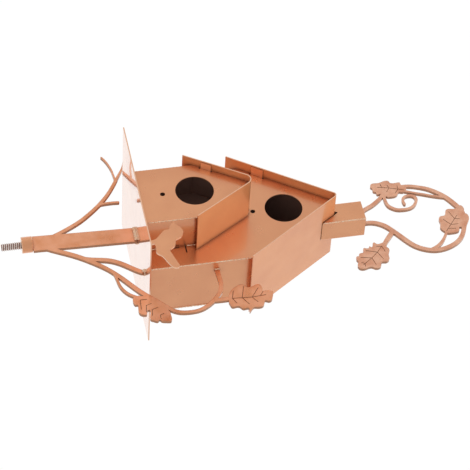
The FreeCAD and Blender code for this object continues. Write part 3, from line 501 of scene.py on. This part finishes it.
    def _unsprayed(self, tree: Tree, place: Node, outer: Looks) -> Looks:
        """Makes faces that look into a room dull and dark, because little spray got in.

        Args:
            tree: the material's tree.
            place: Texture Coordinate node.
            outer: what feeds the shader on the outer faces.

        Returns:
            What feeds the shader instead.
        """
        probe = (self.room_probe * MM,) * 3
        ahead = add_node(tree, VECTOR_MATH, {
            0: place.outputs["Normal"], 1: probe, 2: place.outputs["Object"]},
            operation="MULTIPLY_ADD")
        at = add_node(tree, "ShaderNodeSeparateXYZ", {"Vector": ahead})
        insides = [self._in_room(tree, at, room) for room in self.rooms]
        share = insides[0]
        for inside in insides[1:]:
            share = add_node(tree, MATH, {0: share, 1: inside}, operation="MAXIMUM")
        mixed = add_node(tree, MIX, {
            MIX_SHARE: share, MIX_FIRST: outer["Base Color"], MIX_SECOND: linear(self.bare)},
            data_type="RGBA")
        return {
            "Base Color": mixed.outputs[MIX_COLOUR],
            "Metallic": add_node(tree, MAP_RANGE, {
                "Value": share, "To Min": outer["Metallic"], "To Max": self.bare_metallic}),
            "Roughness": add_node(tree, MATH, {
                0: share, 1: self.bare_dullness, 2: outer["Roughness"]},
                operation="MULTIPLY_ADD"),
            "Coat Weight": add_node(tree, MATH, {0: 1.0, 1: share}, operation="SUBTRACT"),
        }

    @staticmethod
    def _in_room(tree: Tree, at: Node, room: HouseRoom) -> Node:
        """1 where a point is inside a room, else 0.

        Args:
            tree: the material's tree.
            at: Separate XYZ node of the point.
            room: the room.

        Returns:
            Node with the mask.
        """
        x, y, z = at.outputs
        middle = (room.front + room.back) / 2
        half_depth = (room.back - room.front) / 2
        aside = add_node(tree, MATH, {0: x, 1: room.middle, 2: room.half_width},
                         operation="COMPARE")
        between = add_node(tree, MATH, {0: y, 1: middle, 2: half_depth}, operation="COMPARE")
        above = add_node(tree, MATH, {0: z, 1: room.floor}, operation="GREATER_THAN")
        shift = add_node(tree, MATH, {0: x, 1: room.middle}, operation="SUBTRACT")
        out = add_node(tree, MATH, {0: shift}, operation="ABSOLUTE")
        level = add_node(tree, MATH, {0: out, 1: room.slope, 2: z}, operation="MULTIPLY_ADD")
        below = add_node(tree, MATH, {0: level, 1: room.peak}, operation="LESS_THAN")
        inside = aside
        for test in (between, above, below):
            inside = add_node(tree, MATH, {0: inside, 1: test}, operation="MULTIPLY")
        return inside


@dataclass(frozen=True)
class ZincPlate(Finish):
    """Bright zinc plating on a rolled thread: pale grey metal, with painted shade that makes the
    roots duller and darker.

    Radii and the spangle's size are in millimetres.
    """

    crest: str = "FFFAF6"
    # Colour of the painted shade in the thread's roots
    root: str = "9A6C5A"
    crest_radius: float = 3.8
    root_radius: float = 3.2
    spangle: float = 1.2
    bright_from: float = 0.55
    metallic: float = 0.6
    smooth_spots: float = 0.28
    dull_spots: float = 0.5

    def build(self) -> bpy.types.Material:
        """Makes the material.

        Returns:
            The finished material.
        """
        material, tree = self.new_tree()
        spot = add_node(tree, "ShaderNodeTexCoord").outputs["Object"]
        flat = add_node(tree, VECTOR_MATH, {0: spot, 1: (1.0, 1.0, 0.0)}, operation="MULTIPLY")
        radius = add_node(tree, VECTOR_MATH, {0: flat}, operation="LENGTH")
        share = add_node(tree, MAP_RANGE, {
            "Value": radius.outputs["Value"], "From Min": self.root_radius * MM,
            "From Max": self.crest_radius * MM})
        spangle = add_node(tree, NOISE, {
            "Vector": spot, "Scale": per_mm(self.spangle), "Detail": 3.0})
        # Painted shade toward the thread's roots, broken up by the spangle
        root_shade_and_spangle = add_node(tree, MATH, {0: share, 1: spangle}, operation="MULTIPLY")
        ramp = add_node(tree, "ShaderNodeValToRGB", {"Fac": root_shade_and_spangle})
        ramp.color_ramp.elements[0].color = linear(self.root)
        ramp.color_ramp.elements[1].color = linear(self.crest)
        ramp.color_ramp.elements[1].position = self.bright_from
        rough = add_node(tree, MAP_RANGE, {
            "Value": spangle, "To Min": self.smooth_spots, "To Max": self.dull_spots})
        shader = add_node(tree, "ShaderNodeBsdfPrincipled", {
            "Metallic": self.metallic, "Base Color": ramp, "Roughness": rough})
        add_node(tree, "ShaderNodeOutputMaterial", {"Surface": shader})
        return material


# Pieces made by rule, with Geometry Nodes


@dataclass
class RuleTree:
    """A Geometry Nodes tree with named inputs, and the baking of its result."""

    name: str
    tree: bpy.types.GeometryNodeTree = field(init=False)

    def __post_init__(self) -> None:
        """Makes the empty tree with its geometry sockets."""
        self.tree = bpy.data.node_groups.new(self.name, "GeometryNodeTree")
        self.tree.interface.new_socket("Geometry", in_out="INPUT",
                                       socket_type="NodeSocketGeometry")
        self.tree.interface.new_socket("Geometry", in_out="OUTPUT",
                                       socket_type="NodeSocketGeometry")

    def number(self, label: str, value: float) -> None:
        """Adds a named number input."""
        socket = self.tree.interface.new_socket(label, in_out="INPUT",
                                                socket_type="NodeSocketFloat")
        socket.default_value = value

    def close(self, geometry: Node, material: bpy.types.Material) -> None:
        """Ends the tree in Realize Instances and Set Material.

        Args:
            geometry: node with what the tree has made.
            material: its finish.
        """
        real = add_node(self.tree, "GeometryNodeRealizeInstances", {"Geometry": geometry})
        dressed = add_node(self.tree, "GeometryNodeSetMaterial", {
            "Geometry": real, "Material": material})
        add_node(self.tree, "NodeGroupOutput", {"Geometry": dressed})

    def bake(self, name: str, seed_mesh: bpy.types.Mesh,
             values: dict[str, float]) -> bpy.types.Object:
        """Runs the tree on a mesh and keeps the result as a plain mesh.

        Args:
            name: the finished piece's name.
            seed_mesh: what the tree starts from.
            values: named inputs that differ from their defaults.

        Returns:
            The finished object, at the origin.
        """
        maker = bpy.data.objects.new(f"{name}_maker", seed_mesh)
        bpy.context.scene.collection.objects.link(maker)
        modifier = maker.modifiers.new(self.name, "NODES")
        modifier.node_group = self.tree
        for item in self.tree.interface.items_tree:
            if item.item_type == "SOCKET" and item.in_out == "INPUT" and item.name in values:
                modifier[item.identifier] = values[item.name]
        bpy.context.view_layer.update()
        evaluated = maker.evaluated_get(bpy.context.evaluated_depsgraph_get())
        mesh = bpy.data.meshes.new_from_object(evaluated)
        maker.modifiers.clear()
        bpy.data.objects.remove(maker)
        mesh.name = name
        piece = bpy.data.objects.new(name, mesh)
        bpy.context.scene.collection.objects.link(piece)
        return piece


@dataclass
class ThreadedStud:
    """The stud: a rolled thread below the boss, and a plain shank inside it.

    Sizes are in millimetres. The thread's profile runs from crest to root between two shares of
    half a pitch, which leaves both a little flat.
    """

    pitch: float = 2.0
    thread_depth: float = 0.9
    crest_end: float = 0.14
    root_start: float = 0.88
    shank_radius: float = 3.75
    tip_lead: float = 0.9
    sides: int = 48
    rows_per_turn: int = 12

    def tree(self, material: bpy.types.Material) -> RuleTree:
        """Tree that turns a plain cylinder into a threaded one.

        Args:
            material: the stud's finish.

        Returns:
            The tree, whose sizes are named inputs.
        """
        rule = RuleTree("RolledThread")
        for label in ("Radius", "Thread Depth", "Pitch", "Length", "Top", "Shank Radius", "Lead"):
            rule.number(label, MM)
        rule.number("Rows", 100.0)
        tree = rule.tree
        given = add_node(tree, "NodeGroupInput").outputs
        bar = add_node(tree, "GeometryNodeMeshCylinder", {
            "Vertices": self.sides, "Side Segments": given["Rows"],
            "Radius": given["Radius"], "Depth": given["Length"]})
        spot = add_node(tree, "GeometryNodeInputPosition")
        x, y, z = add_node(tree, "ShaderNodeSeparateXYZ", {"Vector": spot}).outputs

        # The bar is moved until its upper end is at the stud's top
        half = add_node(tree, MATH, {0: given["Length"], 1: 0.5}, operation="MULTIPLY")
        lowered = add_node(tree, MATH, {0: z, 1: half}, operation="SUBTRACT")
        up = add_node(tree, MATH, {0: lowered, 1: given["Top"]}, operation="ADD")

        # The helix: how far a point is between two crests, round the stud and up it
        angle = add_node(tree, MATH, {0: y, 1: x}, operation="ARCTAN2")
        turn = add_node(tree, MATH, {0: angle, 1: 2 * math.pi}, operation="DIVIDE")
        pitches = add_node(tree, MATH, {0: up, 1: given["Pitch"]}, operation="DIVIDE")
        wound = add_node(tree, MATH, {0: pitches, 1: turn}, operation="ADD")
        phase = add_node(tree, MATH, {0: wound}, operation="FRACT")
        swing = add_node(tree, MATH, {0: phase, 1: 2.0, 2: -1.0}, operation="MULTIPLY_ADD")
        ridge = add_node(tree, MATH, {0: swing}, operation="ABSOLUTE")
        groove = add_node(tree, MAP_RANGE, {
            "Value": ridge, "From Min": self.crest_end, "From Max": self.root_start})
        sunk = add_node(tree, MATH, {0: groove, 1: given["Thread Depth"]}, operation="MULTIPLY")
        cut = add_node(tree, MATH, {0: given["Radius"], 1: sunk}, operation="SUBTRACT")

        # The tip is a cone: its radius grows with the height above the end
        tip = add_node(tree, MATH, {0: given["Top"], 1: given["Length"]}, operation="SUBTRACT")
        rise = add_node(tree, MATH, {0: up, 1: tip}, operation="SUBTRACT")
        wide = add_node(tree, MATH, {0: rise, 1: given["Radius"]}, operation="ADD")
        cone = add_node(tree, MATH, {0: wide, 1: given["Lead"]}, operation="SUBTRACT")
        pointed = add_node(tree, MATH, {0: cut, 1: cone}, operation="MINIMUM")

        # Inside the boss, above the origin, the stud is plain
        in_boss = add_node(tree, MATH, {0: up, 1: 0.0}, operation="GREATER_THAN")
        radius = add_node(tree, MIX, {
            "Factor": in_boss, "A": pointed, "B": given["Shank Radius"]})
        cosine = add_node(tree, MATH, {0: angle}, operation="COSINE")
        sine = add_node(tree, MATH, {0: angle}, operation="SINE")
        place = add_node(tree, "ShaderNodeCombineXYZ", {
            "X": add_node(tree, MATH, {0: cosine, 1: radius}, operation="MULTIPLY"),
            "Y": add_node(tree, MATH, {0: sine, 1: radius}, operation="MULTIPLY"),
            "Z": up})
        shaped = add_node(tree, "GeometryNodeSetPosition", {"Geometry": bar, "Position": place})
        rule.close(shaped, material)
        return rule

    def build(self, material: bpy.types.Material) -> bpy.types.Object:
        """Makes the stud in place of the CAD stud.

        Args:
            material: the stud's finish.

        Returns:
            The finished piece.
        """
        low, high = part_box("threaded_stud")
        length = high.z - low.z
        rows = round(length / (self.pitch * MM)) * self.rows_per_turn
        stud = self.tree(material).bake("stud_thread", bpy.data.meshes.new("stud_seed"), {
            "Radius": high.x, "Thread Depth": self.thread_depth * MM, "Pitch": self.pitch * MM,
            "Length": length, "Top": high.z, "Shank Radius": self.shank_radius * MM,
            "Lead": self.tip_lead * MM, "Rows": float(rows)})
        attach(stud, BODY)
        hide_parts("threaded_stud")
        return stud


@dataclass
class WeldRuns:
    """All weld runs: hand-laid beads whose ripples follow the seam.

    Sizes are in millimetres. Heights of ripples and swells are shares of the bead's radius, and
    the unevenness is in ripples. Each seam of the CAD has its own bead radius.
    """

    ripple_pitch: float = 3.4
    ripple_height: float = 0.5
    ripple_sharpness: float = 2.0
    unevenness: float = 1.5
    wander: float = 0.35
    wander_length: float = 3.0
    swell: float = 0.7
    least_swell: float = 0.68
    step: float = 0.3
    ring_sides: int = 10
    stitch: float = 16.0
    foot_run: float = 5.0
    corner_stop: float = 0.6
    chimney_sink: float = 0.1
    chimney_start: float = 0.8
    round_end: float = 1.0
    radii: dict[str, float] = field(default_factory=lambda: {
        "small_corner_welds": 0.85,
        "big_corner_welds": 0.85,
        "small_join_welds": 0.8,
        "chimney_seam_weld": 0.75,
        "trunk_foot_welds": 0.6,
        "trunk_head_welds": 3.2,
        "branch_tip_welds": 2.8,
        "finial_foot_welds": 1.0,
        "knob_welds": 1.0,
        "bird_foot_weld": 0.8,
    })

    def tree(self, material: bpy.types.Material) -> RuleTree:
        """Tree that lays a rippled bead along every edge of the mesh it is given.

        Args:
            material: the beads' finish.

        Returns:
            The tree, whose sizes are named inputs.
        """
        rule = RuleTree("WeldBead")
        for label in ("Bead Radius", "Ripple Pitch", "Wander", "Step"):
            rule.number(label, MM)
        rule.number("Ripple Height", self.ripple_height)
        rule.number("Seed", 0.0)
        tree = rule.tree
        given = add_node(tree, "NodeGroupInput").outputs
        line = add_node(tree, "GeometryNodeMeshToCurve", {"Mesh": given["Geometry"]})
        fine = add_node(tree, "GeometryNodeResampleCurve", {
            "Curve": line, "Length": given["Step"]}, mode="LENGTH")
        along = add_node(tree, "GeometryNodeSplineParameter").outputs["Length"]
        spot = add_node(tree, "GeometryNodeInputPosition")
        chance = add_node(tree, NOISE, {
            "Vector": spot, "W": given["Seed"], "Scale": per_mm(self.wander_length),
            "Detail": 2.0}, noise_dimensions="4D")

        # Ripples: each swells slowly and drops at its end, at uneven distances
        ripples = add_node(tree, MATH, {0: along, 1: given["Ripple Pitch"]}, operation="DIVIDE")
        uneven = add_node(tree, MATH, {0: chance, 1: self.unevenness}, operation="MULTIPLY")
        count = add_node(tree, MATH, {0: ripples, 1: uneven}, operation="ADD")
        phase = add_node(tree, MATH, {0: count}, operation="FRACT")
        bend = add_node(tree, MATH, {0: phase, 1: self.ripple_sharpness}, operation="POWER")
        dip = add_node(tree, MATH, {0: bend, 1: given["Ripple Height"]}, operation="MULTIPLY")
        swell = add_node(tree, MATH, {0: chance, 1: self.swell, 2: self.least_swell},
                         operation="MULTIPLY_ADD")
        share = add_node(tree, MATH, {0: swell, 1: dip}, operation="SUBTRACT")
        radius = add_node(tree, MATH, {0: given["Bead Radius"], 1: share}, operation="MULTIPLY")

        # The hand's wander: the line is pushed off its seam by the same noise
        shift = add_node(tree, VECTOR_MATH, {0: chance.outputs["Color"], 1: (0.5, 0.5, 0.5)},
                         operation="SUBTRACT")
        offset = add_node(tree, VECTOR_MATH, {0: shift, "Scale": given["Wander"]},
                          operation="SCALE")
        bent = add_node(tree, "GeometryNodeSetPosition", {"Geometry": fine, "Offset": offset})
        ring = add_node(tree, "GeometryNodeCurvePrimitiveCircle", {
            "Resolution": self.ring_sides, "Radius": 1.0})
        tube = add_node(tree, "GeometryNodeCurveToMesh", {
            "Curve": bent, "Profile Curve": ring, "Scale": radius, "Fill Caps": True})
        rule.close(add_node(tree, "GeometryNodeSetShadeSmooth", {"Geometry": tube}), material)
        return rule

    def lines(self) -> dict[str, list[Line]]:
        """Every seam with its straight runs, read from the CAD nodes that meet there.

        Returns:
            CAD weld node, with the runs that stand for it.
        """
        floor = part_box("base_plate")[1].z
        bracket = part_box("branch_bracket")
        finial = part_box("finial")
        seams: dict[str, list[Line]] = {}
        for house, count in (("small", 1), ("big", 2)):
            node = f"{house}_corner_welds"
            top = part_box(node)[1].z - self.corner_stop * MM
            left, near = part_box(f"{house}_left_wall")
            _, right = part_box(f"{house}_right_wall")
            fronts = [left.y, near.y][:count]
            seams[node] = [((x, y, floor), (x, y, top))
                           for x in (left.x, right.x) for y in fronts]
        low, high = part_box("small_join_welds")
        sides = (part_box("small_left_wall")[0].x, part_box("small_right_wall")[1].x)
        stitch = self.stitch * MM
        seams["small_join_welds"] = [
            ((x, high.y, start), (x, high.y, start + stitch))
            for x in sides for start in (low.z, high.z - stitch)]
        low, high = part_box("chimney_seam_weld")
        x = (low.x + high.x) / 2 - self.chimney_sink * MM
        y = (low.y + high.y) / 2 + self.chimney_sink * MM
        start = low.z + self.chimney_start * MM
        seams["chimney_seam_weld"] = [((x, y, start), (x, y, high.z))]
        seams["trunk_foot_welds"] = self.beside("trunk_foot_welds", stands=True)
        seams["trunk_head_welds"] = self.beside("trunk_head_welds", stands=False)
        seams["branch_tip_welds"] = self.beside("branch_tip_welds", stands=False)
        low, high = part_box("finial_foot_welds")
        run = self.foot_run * MM
        seams["finial_foot_welds"] = [
            ((x, corner.y, low.z), (x + run, corner.y, low.z))
            for x in (low.x, high.x - run) for corner in finial]
        low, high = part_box("knob_welds")
        seams["knob_welds"] = [((low.x, corner.y, low.z), (low.x, corner.y, high.z))
                               for corner in bracket]
        low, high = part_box("bird_foot_weld")
        seams["bird_foot_weld"] = [((low.x, low.y, floor), (high.x, low.y, floor))]
        return seams

    def beside(self, node: str, stands: bool) -> list[Line]:
        """Runs along X, in the corners before and behind the bracket's sheet.

        Args:
            node: CAD weld node.
            stands: whether the sheet stands on the surface there, or carries it.

        Returns:
            The two runs.
        """
        low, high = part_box(node)
        level = low.z if stands else high.z
        start = low.x + self.round_end * MM
        end = high.x - self.round_end * MM
        return [((start, corner.y, level), (end, corner.y, level))
                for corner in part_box("branch_bracket")]

    def build(self, material: bpy.types.Material) -> list[bpy.types.Object]:
        """Lays every seam in place of its CAD node.

        Args:
            material: the beads' finish.

        Returns:
            The finished pieces.
        """
        rule = self.tree(material)
        pieces = []
        for number, (node, lines) in enumerate(sorted(self.lines().items())):
            ends = [Vector(end) for line in lines for end in line]
            edges = [(i, i + 1) for i in range(0, len(ends), 2)]
            seed = bpy.data.meshes.new(f"{node}_seed")
            seed.from_pydata(ends, edges, [])
            piece = rule.bake(f"{node}_rippled", seed, {
                "Bead Radius": self.radii[node] * MM, "Ripple Pitch": self.ripple_pitch * MM,
                "Wander": self.wander * MM, "Step": self.step * MM, "Seed": float(number)})
            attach(piece, BODY)
            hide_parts(node)
            pieces.append(piece)
        return pieces


# Sub-assemblies whose shapes come from the CAD nodes


@dataclass
class CoatedGroup:
    """CAD nodes that share one finish."""

    nodes: tuple[str, ...]
    finish: CopperCoat

    def dress(self, cad: dict[str, bpy.types.Object]) -> list[str]:
        """Gives each node the finish.

        Args:
            cad: all CAD nodes by name.

        Returns:
            The dressed nodes' names.
        """
        material = self.finish.build()
        for name in self.nodes:
            node = cad[name]
            node.data.materials.clear()
            node.data.materials.append(material)
        return list(self.nodes)


@dataclass
class Birdhouse:
    """The whole head, as its coated groups."""

    cad: dict[str, bpy.types.Object]

    def groups(self) -> list[CoatedGroup]:
        """Coated groups with their finishes.

        Returns:
            One group for each way of making.
        """
        rooms = (HouseRoom.of("small"), HouseRoom.of("big", "big_back_panel"))
        finial_low, finial_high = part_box("finial")
        finial_middle = (finial_low.y + finial_high.y) / 2 / MM
        # Torched edges: darker colour for burnt cut edges, and painted shade on the sheet's
        # thickness
        torched = CutEdge(Axis.Y, colour="B07D5A", metallic=0.7, roughness=0.45, stripes=0.3)
        # Pale cut edges on the houses, plate and bird are a painted highlight
        return [
            CoatedGroup(
                ("small_front_panel", "big_front_panel", "big_back_panel"),
                CopperCoat("CopperPowderCoat_Gables", edge=CutEdge(Axis.Y), rooms=rooms)),
            CoatedGroup(
                ("small_left_wall", "small_right_wall", "big_left_wall", "big_right_wall"),
                CopperCoat("CopperPowderCoat_SideWalls", edge=CutEdge(Axis.X), rooms=rooms)),
            CoatedGroup(
                ("small_roof", "big_roof"),
                CopperCoat("CopperPowderCoat_Roofs", light="F5A76E", shade="EC9C66",
                           metallic=0.3, roughness=0.38, film_index=1.4,
                           edge=CutEdge(Axis.Y, along=True), rooms=rooms)),
            CoatedGroup(
                ("base_plate",),
                CopperCoat("CopperPowderCoat_BasePlate", metallic=1.0, roughness=0.16,
                           film_roughness=0.03, edge=CutEdge(Axis.Z), rooms=rooms)),
            CoatedGroup(
                ("chimney", "chimney_cap"),
                CopperCoat("CopperPowderCoat_Chimney")),
            CoatedGroup(
                ("bird_silhouette",),
                CopperCoat("CopperPowderCoat_Bird", edge=CutEdge(Axis.Y, metallic=0.8))),
            CoatedGroup(
                ("branch_bracket",),
                CopperCoat("CopperPowderCoat_CutBracket", light="FCB288", shade="EC9A68",
                           cloud=12.0, film_index=1.35, soft_edge=1.1, corner_shade_reach=4.0,
                           edge=torched, vein_middle=0.0)),
            CoatedGroup(
                ("finial",),
                CopperCoat("CopperPowderCoat_CutFinial", light="FFC29F", shade="EBA27C", cloud=9.0,
                           soft_edge=1.1, corner_shade_reach=4.0, edge=torched,
                           vein_middle=finial_middle)),
            # The boss's end faces get a pale colour, a painted highlight
            CoatedGroup(
                ("stud_boss",),
                CopperCoat("CopperPowderCoat_TurnedBoss", surface=Surface.TURNED,
                           edge=CutEdge(Axis.Z, along=True, colour="FFD2B0", metallic=0.8))),
        ]

    def build(self) -> None:
        """Dresses every group, cuts the thread and lays the welds."""
        for group in self.groups():
            LOG.info("coated: %s", ", ".join(group.dress(self.cad)))
        stud = ThreadedStud().build(ZincPlate("BrightZincPlate").build())
        LOG.info("stud: %s, %d faces", stud.name, len(stud.data.polygons))
        # The beads' pale colours are a painted highlight on the weld runs
        weld = CopperCoat("CopperPowderCoat_WeldBead", surface=Surface.WELD, light="FFDCBC",
                          shade="F3B98E", metallic=0.6, roughness=0.24, cloud=4.0,
                          corner_shade_reach=0.0)
        for piece in WeldRuns().build(weld.build()):
            LOG.info("weld: %s, %d faces", piece.name, len(piece.data.polygons))


# Studio and camera


@dataclass(frozen=True)
class TentPatch:
    """A round patch of the tent that is brighter or dimmer than its walls.

    The patch fades from its rim to its core; both are cosines of the angle to its direction.
    """

    towards: Point
    rim: float
    core: float
    change: float


@dataclass
class Studio:
    """A white light tent over a pale floor.

    The backdrop is brighter than the walls, and the opening for the camera is dimmer. Two soft
    boxes stand in front: a strong one above the head's top and a weak one low on the left.
    """

    backdrop: TentPatch = TentPatch((-0.658, 0.734, 0.166), 0.15, 0.93, 0.33)
    opening: TentPatch = TentPatch((0.658, -0.734, -0.166), 0.5, 0.95, -0.12)
    top_box: TentPatch = TentPatch((0.35, -0.35, 0.87), 0.75, 0.95, 0.6)
    low_box: TentPatch = TentPatch((-0.62, -0.70, -0.35), 0.88, 0.98, 0.4)
    wall_light: float = 0.68
    floor_level: float = -0.62
    floor_radius: float = 2.4
    floor_sides: int = 64
    floor_colour: str = "E8E3DE"
    floor_roughness: float = 0.9

    def build(self) -> None:
        """Makes the surroundings and the floor."""
        scene = bpy.context.scene
        scene.view_settings.view_transform = "Standard"
        world = bpy.data.worlds.new("LightTent")
        scene.world = world
        world.use_nodes = True
        tree = world.node_tree
        tree.nodes.clear()
        place = add_node(tree, "ShaderNodeTexCoord").outputs["Generated"]
        level: Node | float = self.wall_light
        for patch in (self.backdrop, self.opening, self.top_box, self.low_box):
            near = add_node(tree, VECTOR_MATH, {0: place, 1: patch.towards},
                            operation="DOT_PRODUCT")
            change = add_node(tree, MAP_RANGE, {
                "Value": near.outputs["Value"], "From Min": patch.rim, "From Max": patch.core,
                "To Max": patch.change})
            level = add_node(tree, MATH, {0: change, 1: level}, operation="ADD")
        tent = add_node(tree, "ShaderNodeBackground", {
            "Color": linear("FFFFFF"), "Strength": level})
        add_node(tree, "ShaderNodeOutputWorld", {"Surface": tent})
        self.floor()

    def floor(self) -> None:
        """Makes the round pale floor, below the stud's tip."""
        numbers = range(self.floor_sides)
        turns = [2 * math.pi * number / self.floor_sides for number in numbers]
        rim = [(self.floor_radius * math.cos(turn), self.floor_radius * math.sin(turn),
                self.floor_level) for turn in turns]
        mesh = bpy.data.meshes.new("studio_floor")
        mesh.from_pydata(rim, [], [tuple(numbers)])
        floor = bpy.data.objects.new("studio_floor", mesh)
        bpy.context.scene.collection.objects.link(floor)
        material, tree = Finish("PaleStudioPaper").new_tree()
        shader = add_node(tree, "ShaderNodeBsdfPrincipled", {
            "Base Color": linear(self.floor_colour), "Roughness": self.floor_roughness})
        add_node(tree, "ShaderNodeOutputMaterial", {"Surface": shader})
        mesh.materials.append(material)


@dataclass
class PhotoCamera:
    """The camera where the photograph was taken, fitted to the houses' edges.

    The head lies on its side in the photograph, so the camera is rolled: its right is nearly
    the head's up.
    """

    position: Point = (1.54898, -1.70629, -0.17316)
    right: Point = (0.19695, -0.04460, 0.97940)
    down: Point = (0.72656, 0.67737, -0.11526)
    forward: Point = (-0.65827, 0.73429, 0.16581)
    lens: float = 178.09
    sensor: float = 36.0
    nearest: float = 0.05
    farthest: float = 50.0

    def build(self) -> bpy.types.Object:
        """Makes the camera and sets it as the scene's.

        Returns:
            The camera.
        """
        data = bpy.data.cameras.new("photo_camera")
        data.lens = self.lens
        data.sensor_width = self.sensor
        data.clip_start = self.nearest
        data.clip_end = self.farthest
        camera = bpy.data.objects.new("photo_camera", data)
        axes = (Vector(self.right), -Vector(self.down), -Vector(self.forward))
        turn = Matrix([[axis[row] for axis in axes] for row in range(3)])
        camera.matrix_world = Matrix.Translation(self.position) @ turn.to_4x4()
        bpy.context.scene.collection.objects.link(camera)
        bpy.context.scene.camera = camera
        return camera


def main() -> None:
    """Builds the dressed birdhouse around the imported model."""
    logging.basicConfig(level=logging.INFO, format="%(name)s: %(message)s")
    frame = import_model()
    PhotoCamera().build()
    Studio().build()
    Birdhouse(frame["nodes"]).build()


if __name__ == "__main__":
    main()
